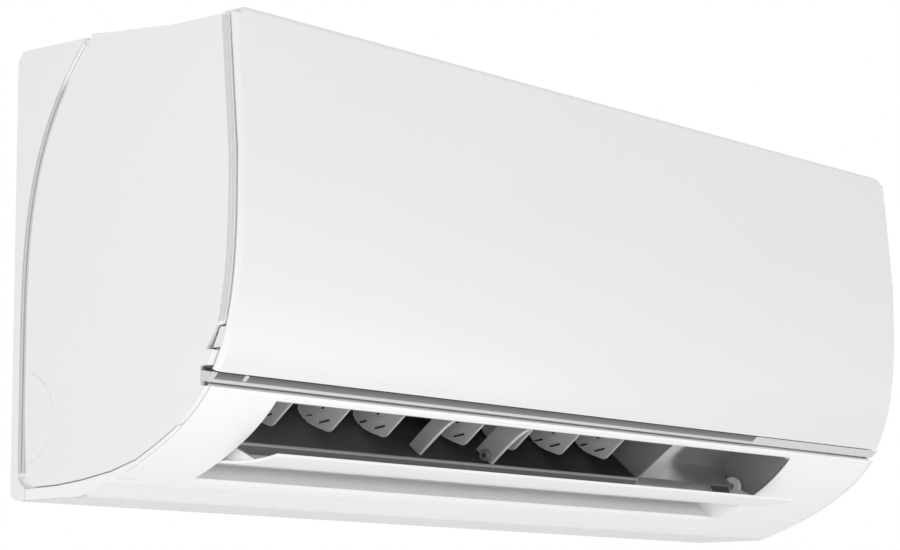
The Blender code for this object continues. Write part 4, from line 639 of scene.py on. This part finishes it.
class Moulding:
    """A piece under construction: closed solids in one mesh, each with one of the piece's finishes."""

    def __init__(self, name: str, *finishes: Finish) -> None:
        """Starts an empty piece.

        Args:
            name: The piece's name.
            finishes: The finishes that its solids choose from, the main one first.
        """
        self.name = name
        self.finishes = finishes
        self.bm = bmesh.new()

    def ring(self, points: list[Place]) -> list[bmesh.types.BMVert]:
        """Adds points, lifted from the unit's underside into the frame's heights."""
        return [self.bm.verts.new((x, y, z + BASE)) for x, y, z in points]

    def loft(self, rings: list[list[Place]], finish: int = 0) -> None:
        """Adds a closed solid through rings of equal length.

        Args:
            rings: The rings, each a closed loop of points.
            finish: Which of the piece's finishes it gets.
        """
        loops = [self.ring(points) for points in rings]
        faces = [self.bm.faces.new(loops[0][::-1]), self.bm.faces.new(loops[-1])]
        for here, there in zip(loops, loops[1:]):
            for i in range(len(here)):
                j = (i + 1) % len(here)
                faces.append(self.bm.faces.new((here[i], here[j], there[j], there[i])))
        for face in faces:
            face.material_index = finish

    def prism(self, outline: Line, x_low: float, x_high: float, finish: int = 0) -> None:
        """Adds a closed (y, z) outline swept along X from one place to another."""
        self.loft([[(x, y, z) for y, z in outline] for x in (x_low, x_high)], finish)

    def tube(self, path: list[Place], radius: float, finish: int = 0,
             sides: int = 8) -> None:
        """Adds a round bar along a path.

        Args:
            path: The path's points.
            radius: The bar's radius.
            finish: Which of the piece's finishes it gets.
            sides: How many sides the bar has.
        """
        points = [Vector(p) for p in path]
        rings = []
        side = (points[1] - points[0]).orthogonal().normalized()
        for i, place in enumerate(points):
            along = (points[min(i + 1, len(points) - 1)] - points[max(i - 1, 0)]).normalized()
            side = (side - along * side.dot(along)).normalized()
            other = along.cross(side)
            rings.append([tuple(place + (side * math.cos(a) + other * math.sin(a)) * radius)
                          for a in (2 * math.pi * k / sides for k in range(sides))])
        self.loft(rings, finish)

    def pierced(self, loops: list[Line], low: float, high: float, to_place: Callable,
                finish: int = 0) -> None:
        """Adds a flat plate with holes.

        Args:
            loops: The plate's outline, then the outline of each hole.
            low: One face's height in the plate's own axes.
            high: The other face's height.
            to_place: Turns the plate's own (a, b, c) into the unit's (x, y, z).
            finish: Which of the piece's finishes it gets.
        """
        flat = bmesh.new()
        for loop in loops:
            corners = [flat.verts.new((a, b, 0.0)) for a, b in loop]
            for i in range(len(corners)):
                flat.edges.new((corners[i - 1], corners[i]))
        bmesh.ops.triangle_fill(flat, use_beauty=True, edges=flat.edges[:])
        flat.verts.index_update()
        places = [(v.co.x, v.co.y) for v in flat.verts]
        faces = [[v.index for v in f.verts] for f in flat.faces]
        flat.free()
        lower = self.ring([to_place(a, b, low) for a, b in places])
        upper = self.ring([to_place(a, b, high) for a, b in places])
        made = [self.bm.faces.new([lower[i] for i in face]) for face in faces]
        made += [self.bm.faces.new([upper[i] for i in face[::-1]]) for face in faces]
        first = 0
        for loop in loops:
            for i in range(len(loop)):
                j = first + (i + 1) % len(loop)
                k = first + i
                made.append(self.bm.faces.new((lower[k], lower[j], upper[j], upper[k])))
            first += len(loop)
        for face in made:
            face.material_index = finish

    def mesh(self) -> bpy.types.Mesh:
        """Turns the solids into one mesh whose faces look outwards.

        Returns:
            The mesh.
        """
        bmesh.ops.recalc_face_normals(self.bm, faces=self.bm.faces)
        mesh = bpy.data.meshes.new(self.name)
        self.bm.to_mesh(mesh)
        self.bm.free()
        return mesh

    def done(self, body: str, radius: float = 0.0, replaced: tuple[str, ...] = ()) -> None:
        """Makes the object, dresses it and lets it ride on its body.

        Args:
            body: The body that it moves with.
            radius: The width of its rounded edges.
            replaced: The frame's solids that it stands for.
        """
        mesh = self.mesh()
        for finish in self.finishes:
            mesh.materials.append(finish.material())
        piece = placed(self.name, mesh)
        if radius:
            Rounding.edges(piece, radius)
        Rounding.shade(piece)
        if replaced:
            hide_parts(*replaced)
        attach(piece, body)
        LOG.info("built %s on %s", self.name, body)


def carved_copy(node: str, name: str, cutter: Moulding) -> bpy.types.Mesh:
    """Copies one of the frame's solids with a closed form cut out of it.

    Args:
        node: The solid's name in the frame.
        name: The new mesh's name.
        cutter: The form that is cut away.

    Returns:
        The carved mesh.
    """
    piece = placed(name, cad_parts[node].data.copy())
    guide = placed(cutter.name, cutter.mesh())
    join = piece.modifiers.new("join", "WELD")
    join.merge_threshold = Rounding.MERGE
    cut = piece.modifiers.new("cut", "BOOLEAN")
    cut.operation = "DIFFERENCE"
    cut.solver = "EXACT"
    cut.object = guide
    graph = bpy.context.evaluated_depsgraph_get()
    carved = bpy.data.meshes.new_from_object(piece.evaluated_get(graph))
    carved.name = name
    for one in (piece, guide):
        mesh = one.data
        bpy.data.objects.remove(one)
        bpy.data.meshes.remove(mesh)
    return carved


# Rows of a solid's name, its finish and the width of its rounded edges
Solids = tuple[tuple[str, Finish, float], ...]


@dataclass
class Assembly:
    """A sub-assembly whose solids come from the frame."""

    solids: Solids = ()

    def build(self) -> None:
        """Finishes each of the sub-assembly's solids."""
        for node, finish, radius in self.solids:
            dress(node, finish, radius)


@dataclass
class Casing(Assembly):
    """The chassis, the front frame, the panel, the strips, the top grille and the mounting plate."""

    solids: Solids = (
        ("base_chassis", CASE, 0.0004),
        # The front frame's lighter white is painted light from below
        ("front_frame", FRAME_PAINTED_LIGHT, 0.0004),
        ("front_panel", PANEL, 0.0006),
        ("display_strip", SMOKE, 0.0003),
        ("strip_end", STRIP, 0.0003),
        ("top_grille", CASE, 0.0003),
        ("mounting_plate", ZINC, 0.0002),
        ("drain_spout", CASE, 0.0002),
    )


@dataclass
class SideCover:
    """The leaf-shaped cover of one end, with a fluted front edge and its two-part trim."""

    end: str
    side: int
    edge: float = 0.0046
    flute: float = 0.0094
    depth: float = 0.0008
    low: float = 0.1012
    steps: int = 26
    past: float = 0.0010
    round_edge: float = 0.0004
    trim_top: float = 0.0072
    trim_floor: float = 0.0014
    # The trim's two strips: where each starts and ends behind the front, and how deep it lies
    strips: tuple[Place, ...] = ((0.0049, 0.0064, 0.0007), (0.0070, 0.0092, 0.0005))

    def across(self, inner: float, outer: float) -> list[float]:
        """Gives two distances below the end face as X places, low first."""
        return sorted((self.side * (HALF - inner), self.side * (HALF - outer)))

    def ribbon(self, high: float, low: float, near: float, far: float) -> Line:
        """Gives a band's outline down the front edge, between two distances behind the front surface."""
        front, back = (Section.front_line(high, low, self.steps, inset) for inset in (near, far))
        return front + back[::-1]

    def shell(self) -> None:
        """Builds the cover from the frame's solid, with a shallow flute along its front edge."""
        node = f"{self.end}_side_cover"
        cutter = Moulding("flute_cutter")
        cutter.prism(self.ribbon(HEIGHT + self.past, self.low, self.edge - 3 * self.past, self.flute),
                     *self.across(self.depth, -self.past))
        mesh = carved_copy(node, f"{self.end}_cover_shell", cutter)
        piece = placed(mesh.name, mesh)
        mesh.materials.clear()
        mesh.materials.append(CASE.material())
        Rounding.apply(piece, self.round_edge)
        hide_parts(node)
        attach(piece, "casing")
        LOG.info("built %s", mesh.name)

    def trim(self) -> None:
        """Lays the trim's two strips in the flute."""
        trim = Moulding(f"{self.end}_front_trim", TRIM)
        for near, far, sunk in self.strips:
            outline = self.ribbon(HEIGHT - self.trim_top, self.low + 0.0004, near, far)
            trim.prism(outline, *self.across(self.trim_floor, sunk))
        trim.done("casing", 0.0003)

    def build(self) -> None:
        """Builds the cover and its trim."""
        self.shell()
        self.trim()


@dataclass
class Joints:
    """The pale trims in the rear joints, the strip's lower band and its end cap."""

    rear_half: float = 0.0030
    rear_split: float = 0.0003
    rear_floor: float = 0.0026
    rear_top: float = 0.0011
    rear_high: float = 0.0075
    rear_low: float = 0.0180
    rear_steps: int = 28
    split: float = 0.1872
    band_share: tuple[float, float] = (0.66, 0.985)
    strip_top: Point = (-0.18243, 0.0709)
    strip_low: Point = (-0.17655, 0.0655)

    def rear_trim(self, name: str, side: int) -> None:
        """Lays the two-part trim in the joint between the rear casing and a cover, grey below and white
        towards its top as a painted highlight.

        Args:
            name: The piece's name.
            side: -1 for the left end, 1 for the right end.
        """
        high, fall = HEIGHT - self.rear_high, HEIGHT - self.rear_high - self.rear_low
        heights = [high - fall * i / self.rear_steps for i in range(self.rear_steps + 1)]
        line = [(Section.joint(z), z) for z in heights]
        trim = Moulding(name, TRIM_PAINTED_HIGHLIGHT)
        for inner, outer in ((-self.rear_half, -self.rear_split), (self.rear_split * 3, self.rear_half)):
            outline = Section.offset(line, inner) + Section.offset(line, outer)[::-1]
            trim.prism(outline, *sorted((side * (HALF - self.rear_floor), side * (HALF - self.rear_top))))
        trim.done("casing", 0.0005)

    def on_strip(self, start: float, end: float, sunk: float, lift: float) -> Line:
        """Gives the outline of a flat bar on the strip's face.

        Args:
            start: Where it starts, as a share of the face from its upper edge.
            end: Where it ends, as such a share.
            sunk: How far it reaches into the strip.
            lift: How far it stands out of the face.

        Returns:
            The closed outline.
        """
        top, low = Vector(self.strip_top), Vector(self.strip_low)
        out = Vector((low.y - top.y, top.x - low.x)).normalized()
        head, foot = top.lerp(low, start), top.lerp(low, end)
        corners = (head - out * sunk, foot - out * sunk, foot + out * lift, head + out * lift)
        return [tuple(corner) for corner in corners]

    def strip_band(self, name: str, x_low: float, x_high: float) -> None:
        """Adds the pale band along the strip's lower edge.

        Args:
            name: The piece's name.
            x_low: Where it starts.
            x_high: Where it ends.
        """
        band = Moulding(name, STRIP_BAND)
        band.prism(self.on_strip(*self.band_share, 0.0004, 0.00025), x_low, x_high)
        band.done("casing", 0.0001)

    def strip_caps(self) -> None:
        """Builds the pale cap on the strip's left end and the small tab beside it."""
        cap = Moulding("strip_end_cap", STRIP_BAND)
        for start, end, lift, share in ((0.0008, 0.0055, 0.0003, 0.98), (0.0300, 0.0335, 0.00035, 0.55)):
            cap.prism(self.on_strip(0.0, share, 0.0006, lift), start - HALF, end - HALF)
        side = [self.strip_top, self.strip_low, (self.strip_low[0] + 0.0080, self.strip_low[1] + 0.0005),
                (self.strip_top[0] + 0.0135, self.strip_top[1] + 0.0026)]
        cap.prism(side, 0.0001 - HALF, 0.0007 - HALF)
        cap.done("casing", 0.0002)

    def build(self) -> None:
        """Builds the trims, the band and the cap."""
        for name, side in (("rear_trim_left", -1), ("rear_trim_right", 1)):
            self.rear_trim(name, side)
        self.strip_band("strip_lower_band", -(HALF - 0.0012), HALF - self.split)
        self.strip_caps()


@dataclass
class Outlet(Assembly):
    """The flap, the vanes' link bars and the duct with its ceiling, ribs and linings, whose dark and grey
    sheets partly paint shade.
    """

    solids: Solids = (
        # The flap's lighter white is painted light from below
        ("flap_outer_skin", FLAP_PAINTED_LIGHT, 0.0003),
        ("flap_inner_liner", FLAP_PAINTED_LIGHT, 0.0003),
        ("flap_motor", ZINC, 0.0003),
        # The fairing's darkening to the right is painted shade
        ("duct_fairing", FAIRING_PAINTED_SHADE, 0.0),
        ("vane_link_left", VANE, 0.0002),
        ("vane_link_right", VANE, 0.0002),
    )
    rib_places: tuple[float, float] = (-0.128, -0.0505)
    rib_half: float = 0.0011
    lining: float = 0.00012
    lift: float = 0.00003

    def ceiling(self) -> None:
        """Builds the drain pan, whose underside is the duct's upper wall, in charcoal that darkens towards
        the right as painted shade.
        """
        low, tip = Duct.UPPER_LOW, Duct.UPPER_HIGH
        front, back = (-(DEPTH - 0.0325), 0.0890), (-(DEPTH - 0.0580), 0.0925)
        wall = [tuple(low), tuple(tip), (tip.x - 0.0012, tip.y + 0.0045), (tip.x - 0.0040, tip.y + 0.0050)]
        trough = [(front[0] + y, front[1] + z) for y, z in
                  ((-0.0007, 0.0110), (-0.0030, 0.0110), (-0.0015, -0.0015), (0.0060, -0.0080))]
        outline = wall + [back, front] + trough + [(low.x + 0.0010, low.y + 0.0070)]
        pan = Moulding("duct_ceiling", DUCT_CHARCOAL_AND_SHADE)
        pan.prism(outline, *Duct.SPAN)
        pan.done("casing", 0.0003, ("drain_pan",))

    def ribs(self) -> None:
        """Builds the two struts between the duct's upper wall and its floor, their front edges painted
        lighter as highlights.
        """
        for i, (x, rear, swell) in enumerate(zip(self.rib_places, (-0.0037, -0.0015), (0.0, 0.0035))):
            front = [(-0.0205, -0.0012), (-0.0195, 0.0040), (-0.0172, 0.0100), (-0.0156, 0.0180),
                     (-0.0150, 0.0300), (-0.0150, 0.0420)]
            front = [(a - swell, b) for a, b in front]
            last = front[-1][0]
            front += [(last, Duct.depth(last) - 0.0008), (rear, Duct.depth(rear) - 0.0008), (rear, -0.0012)]
            # The rib's front edge tube is a painted highlight
            rib = Moulding(f"duct_rib_{i + 1}", RIB, VANE_RIM_HIGHLIGHT)
            rib.prism([Duct.point(a, b) for a, b in front], x - self.rib_half, x + self.rib_half)
            edge = [(x, *Duct.point(a - 0.0001, b)) for a, b in front[1:6]]
            edge.append((x, *Duct.point(last - 0.0001, Duct.depth(last) - 0.0016)))
            rib.tube(edge, self.rib_half * 1.05, 1, 10)
            rib.done("casing", 0.0002)

    def boss(self) -> None:
        """Builds the screw boss at the foot of the second rib, grey as painted shade, with a dark disc
        painted as the shade in its screw hole.
        """
        x = self.rib_places[1] - self.rib_half
        y, z = Duct.point(-0.0118, Duct.depth(-0.0118) - 0.0035)
        boss = Moulding("rib_screw_boss", NICHE_SHADE, DARK)
        profile = ((0.0, 0.0044), (-0.0030, 0.0044), (-0.0042, 0.0036), (-0.0042, 0.0024), (-0.0030, 0.0020))
        boss.loft([[(x + dx, *p) for p in Section.arc((y, z), r, 0.0, 360.0, 28)[:-1]] for dx, r in profile])
        # Painted shade: a dark disc on the boss's face stands for the shaded screw hole
        boss.tube([(x - 0.0028, y, z), (x - 0.0036, y, z)], 0.0013, 1, 16)
        boss.done("casing")

    def linings(self) -> None:
        """Lines the duct's floor and ends with dark sheets of charcoal and painted shade, and finishes its
        lip in a lighter grey that paints a highlight on its edge.
        """
        # A thin dark sheet over the duct's floor: charcoal with painted shade darkening towards the right
        floor = Moulding("duct_floor_lining", DUCT_CHARCOAL_AND_SHADE)
        radius = Section.scroll_radius()
        start = math.degrees(Section.SLOPE) - 90.0
        line = [Section.floor(0.0012, self.lift)]
        line += Section.arc(tuple(Section.FAN), radius - self.lift, start, 34.0, 24)
        floor.prism(line + Section.offset(line, self.lining)[::-1], *Duct.SPAN)
        floor.done("casing")
        # A grey sheet on the duct's right end wall, painted shade
        end = Moulding("duct_end_painted_shade_lining", DUCT_END_SHADE)
        wall = [Section.floor(0.0015, 0.0004), Section.floor(0.030, 0.0006)]
        wall += Section.arc(tuple(Section.FAN), radius - 0.0010, -40, -20, 3)
        wall += [(-0.1000, 0.1000), tuple(Duct.UPPER_HIGH), Duct.point(-0.0225, 0.0006)]
        end.prism(wall, Duct.RIGHT + 0.0009, Duct.RIGHT + 0.0014)
        end.done("casing")
        # The lip's lighter grey is a painted highlight; the apron below it is painted shade
        lip = Moulding("duct_lip", LIP_HIGHLIGHT, DUCT_END_SHADE)
        lip.tube([(x, *Section.floor(0.0006, 0.0002)) for x in Duct.SPAN], 0.0006)
        apron = [(-0.1236, 0.0352), (-0.1200, 0.0300), (-0.1194, 0.0304), (-0.1226, 0.0356)]
        lip.prism(apron, Duct.LEFT + 0.0135, Duct.SPAN[1], 1)
        lip.done("casing")

    def niche(self) -> None:
        """Lines the outlet's right end wall with a grey sheet of painted shade and draws the dark seam round
        its front edge.
        """
        # A grey plate on the end wall, painted shade
        plate = Moulding("niche_painted_shade_lining", NICHE_SHADE)
        x = Duct.OUTLET_RIGHT
        front = Section.front_line(0.0570, 0.0300, 8, 0.0016)
        back = [(-0.1290, 0.0300), (-0.1000, 0.0330), (-0.0900, 0.0500), (-0.1000, 0.0660),
                (-0.1420, 0.0700), (-0.1600, 0.0630)]
        plate.prism(front + back, x - 0.00045, x - 0.00005)
        plate.done("casing")
        seam = Moulding("niche_seam", DARK)
        line = Section.front_line(0.0575, 0.0290, 12, 0.0012)
        seam.tube([(x - 0.0002, y, z) for y, z in line], 0.00032)
        seam.done("casing")

    def build(self) -> None:
        """Finishes the outlet's solids and builds the duct's finer pieces."""
        super().build()
        self.ceiling()
        self.ribs()
        self.boss()
        self.linings()
        self.niche()


@dataclass
class Vane:
    """One upright vane: a tongue with a rounded rim, two slots and two low ridges; the rim and ridges are
    painted lighter as highlights.
    """

    group: str
    number: int
    x: float
    thickness: float = 0.0014
    arm: float = 0.0200
    stub_radius: float = 0.0020
    pin_radius: float = 0.0013
    front: float = -0.0085
    back: float = 0.0260
    link: float = 0.0260
    rim: float = 0.00085
    slot_half: float = 0.0008
    notch: float = 0.0122
    slots: tuple[tuple[Point, Point], ...] = (
        ((0.0033, 0.0458), (-0.0018, 0.0374)),
        ((0.0098, 0.0378), (0.0082, 0.0358)),
        ((0.0160, 0.0540), (0.0120, 0.0474)),
    )
    ridges: tuple[tuple[Point, Point, Point], ...] = (
        ((0.0060, 0.0440), (0.0036, 0.0392), (-0.0002, 0.0340)),
        ((0.0076, 0.0428), (0.0056, 0.0378), (0.0022, 0.0332)),
    )

    def place(self, along: float, into: float, left: float) -> Place:
        """Turns a place in the duct, at a distance left of the vane's middle plane, into a point."""
        y, z = Duct.point(along, into)
        return (self.x - left, y, z)

    def tongue(self, inward: float = 0.0) -> Line:
        """Gives the vane's front and lower edge, from its front top corner to its back.

        Args:
            inward: How far the line lies inside the edge.

        Returns:
            The line.
        """
        rooms = ((self.front, 0.0110), (-0.0080, 0.0092), (-0.0067, 0.0077), (-0.0040, 0.0066),
                 (0.0030, 0.0036), (0.0100, 0.0015), (0.0150, 0.0015), (0.0200, 0.0017),
                 (0.0240, 0.0033), (self.back, 0.0069))
        line = [(self.front, 0.0010)] + [(along, Duct.depth(along) - room) for along, room in rooms]
        return Section.offset(line, -inward)

    def slot(self, start: Point, end: Point) -> Line:
        """Gives a round-ended slot's outline.

        Args:
            start: The middle of one end.
            end: The middle of the other end.

        Returns:
            The outline.
        """
        heading = math.degrees(math.atan2(end[1] - start[1], end[0] - start[0]))
        outline = Section.arc(end, self.slot_half, heading - 90.0, heading + 90.0, 4)
        return outline + Section.arc(start, self.slot_half, heading + 90.0, heading + 270.0, 4)

    def build(self) -> None:
        """Builds the vane and puts it in place of the frame's plain one."""
        name = f"{self.group}_vane_{self.number}"
        piece = Moulding(f"{name}_blade", VANE, VANE_RIM_HIGHLIGHT)
        low, high = self.link - 0.0030, self.link + 0.0030
        rear = [(self.back, high), (self.notch, high), (self.notch, low), (self.back, low),
                (self.back, 0.0060), (self.back - 0.0050, 0.0010)]
        half = self.thickness / 2
        holes = [self.slot(*ends) for ends in self.slots]
        piece.pierced([self.tongue() + rear] + holes, -half, half, self.place)
        piece.tube([self.place(a, b, 0.0) for a, b in self.tongue(self.rim * 0.8)], self.rim, 1)
        for ridge in self.ridges:
            piece.tube([self.place(a, b, half) for a, b in ridge], 0.0004, 1, 6)
        piece.tube([self.place(0, 0.0040, 0), self.place(0, -0.0050, 0)], self.stub_radius, 0, 12)
        pin = [self.place(self.arm, self.link + end, 0) for end in (0.0045, -0.0045)]
        piece.tube(pin, self.pin_radius, 0, 10)
        piece.done(name, 0.0, (f"vane_{self.group}_{self.number}",))


@dataclass
class Vanes:
    """The two linked groups of upright vanes."""

    left: tuple[float, ...] = (-0.280, -0.223, -0.166)
    right: tuple[float, ...] = (-0.079, -0.022, 0.035, 0.092)

    def build(self) -> None:
        """Builds every vane of both groups."""
        for group, places in (("left", self.left), ("right", self.right)):
            for i, x in enumerate(places):
                Vane(group, i + 1, x).build()


@dataclass
class Blower(Assembly):
    """The cross-flow fan, its bearing and its motor."""

    solids: Solids = (
        ("cross_flow_fan", FAN, 0.0),
        ("fan_bearing", ZINC, 0.0002),
        ("bearing_seat", RUBBER, 0.0003),
        ("fan_motor", MOTOR, 0.0005),
        ("motor_bed", CASE, 0.0003),
        ("motor_clamp", CASE, 0.0003),
    )


@dataclass
class Evaporator(Assembly):
    """The coils, their plates and tube, and the connecting pipes."""

    solids: Solids = (
        ("coil_front_lower", FINS, 0.0),
        ("coil_front_upper", FINS, 0.0),
        ("coil_rear", FINS, 0.0),
        ("coil_plate_left", ZINC, 0.0002),
        ("coil_plate_right", ZINC, 0.0002),
        ("evaporator_tube", COPPER, 0.0),
        ("gas_pipe", COPPER, 0.0),
        ("liquid_pipe", COPPER, 0.0),
        ("gas_flare_nut", BRASS, 0.0003),
        ("liquid_flare_nut", BRASS, 0.0003),
    )


@dataclass
class Filters(Assembly):
    """The two air filters behind the panel."""

    solids: Solids = (
        ("filter_left", NET, 0.0002),
        ("filter_right", NET, 0.0002),
    )


@dataclass
class Controls(Assembly):
    """The control box, its boards, and the manual button."""

    solids: Solids = (
        ("control_box", CASE, 0.0004),
        ("control_box_lid", ZINC, 0.0003),
        ("main_board", BOARD, 0.0002),
        ("terminal_block", RUBBER, 0.0003),
        ("display_board", BOARD, 0.0002),
        ("manual_button", CASE, 0.0003),
        ("button_switch", RUBBER, 0.0002),
    )


@dataclass(frozen=True)
class SoftBox:
    """A large soft lamp that isn't seen itself."""

    name: str
    place: Place
    size: float
    power: float
    target: Place = (0.0, -0.1, -0.05)

    def build(self) -> None:
        """Hangs the lamp and turns it to its target."""
        data = bpy.data.lights.new(self.name, "AREA")
        data.shape = "DISK"
        data.size = self.size
        data.energy = self.power
        lamp = placed(self.name, data)
        lamp.location = self.place
        lamp.rotation_euler = (Vector(self.target) - Vector(self.place)).to_track_quat("-Z", "Y").to_euler()
        lamp.visible_camera = False


@dataclass
class Studio:
    """The pale floor, the white surround, the lamps and the camera."""

    eye: Place = (-1.56066, -1.31360, -0.28879)
    yaw: float = 0.8884
    pitch: float = 0.1478
    roll: float = -0.0049
    lens: float = 106.8
    floor_z: float = -1.25
    fill: float = 0.74
    lamps: tuple[SoftBox, ...] = (
        SoftBox("lamp_key", (-1.9, -1.5, -0.55), 1.2, 10.0),
        SoftBox("lamp_under", (-0.2, -1.0, -1.2), 1.6, 8.0),
        SoftBox("lamp_side", (-2.4, -0.4, -0.2), 1.4, 3.3),
        SoftBox("lamp_low_right", (1.2, -1.8, -1.1), 1.6, 6.0),
    )

    def floor(self) -> None:
        """Lays the plain pale floor."""
        bm = bmesh.new()
        bmesh.ops.create_grid(bm, x_segments=1, y_segments=1, size=6.0)
        mesh = bpy.data.meshes.new("studio_floor")
        bm.to_mesh(mesh)
        bm.free()
        plane = placed("studio_floor", mesh)
        plane.location = (0.0, 0.0, self.floor_z)
        board = NodeBoard("studio_floor")
        board.shader.inputs["Base Color"].default_value = (0.86, 0.86, 0.86, 1.0)
        board.shader.inputs["Roughness"].default_value = 0.9
        mesh.materials.append(board.material)

    def surround(self) -> None:
        """Sets a white surround: full to the camera and in reflections, softer as light."""
        world = bpy.data.worlds.new("studio")
        bpy.context.scene.world = world
        world.use_nodes = True
        tree = world.node_tree
        back = tree.nodes["Background"]
        back.inputs["Color"].default_value = (1.0, 1.0, 1.0, 1.0)
        rays = tree.nodes.new("ShaderNodeLightPath")
        seen = rays.outputs["Is Camera Ray"]
        for kind in ("Is Glossy Ray", "Is Transmission Ray"):
            either = tree.nodes.new("ShaderNodeMath")
            either.operation = "MAXIMUM"
            tree.links.new(seen, either.inputs[0])
            tree.links.new(rays.outputs[kind], either.inputs[1])
            seen = either.outputs["Value"]
        level = tree.nodes.new("ShaderNodeMapRange")
        level.inputs["To Min"].default_value = self.fill
        level.inputs["To Max"].default_value = 1.0
        tree.links.new(seen, level.inputs["Value"])
        tree.links.new(level.outputs["Result"], back.inputs["Strength"])

    def camera(self) -> None:
        """Stands the camera where the photograph was taken from."""
        forward = Vector((math.sin(self.yaw) * math.cos(self.pitch),
                          math.cos(self.yaw) * math.cos(self.pitch), math.sin(self.pitch)))
        level = Vector((math.cos(self.yaw), -math.sin(self.yaw), 0.0))
        upright = level.cross(forward)
        right = level * math.cos(self.roll) + upright * math.sin(self.roll)
        above = upright * math.cos(self.roll) - level * math.sin(self.roll)
        data = bpy.data.cameras.new("photo_camera")
        data.lens = self.lens
        data.sensor_width = 36.0
        camera = placed("photo_camera", data)
        turn = Matrix((right, above, -forward)).transposed().to_4x4()
        camera.matrix_world = Matrix.Translation(self.eye) @ turn
        bpy.context.scene.camera = camera

    def build(self) -> None:
        """Builds the floor, the surround, the lamps and the camera."""
        self.floor()
        self.surround()
        for lamp in self.lamps:
            lamp.build()
        self.camera()
        bpy.context.scene.view_settings.view_transform = "Standard"


def main() -> None:
    """Builds every sub-assembly, then the studio."""
    logging.basicConfig(level=logging.INFO, format="%(name)s: %(message)s")
    covers = [SideCover("left", -1), SideCover("right", 1)]
    insides = [Blower(), Evaporator(), Filters(), Controls()]
    for assembly in [Casing(), *covers, Joints(), Outlet(), Vanes(), *insides]:
        assembly.build()
    Studio().build()


if __name__ == "__main__":
    main()
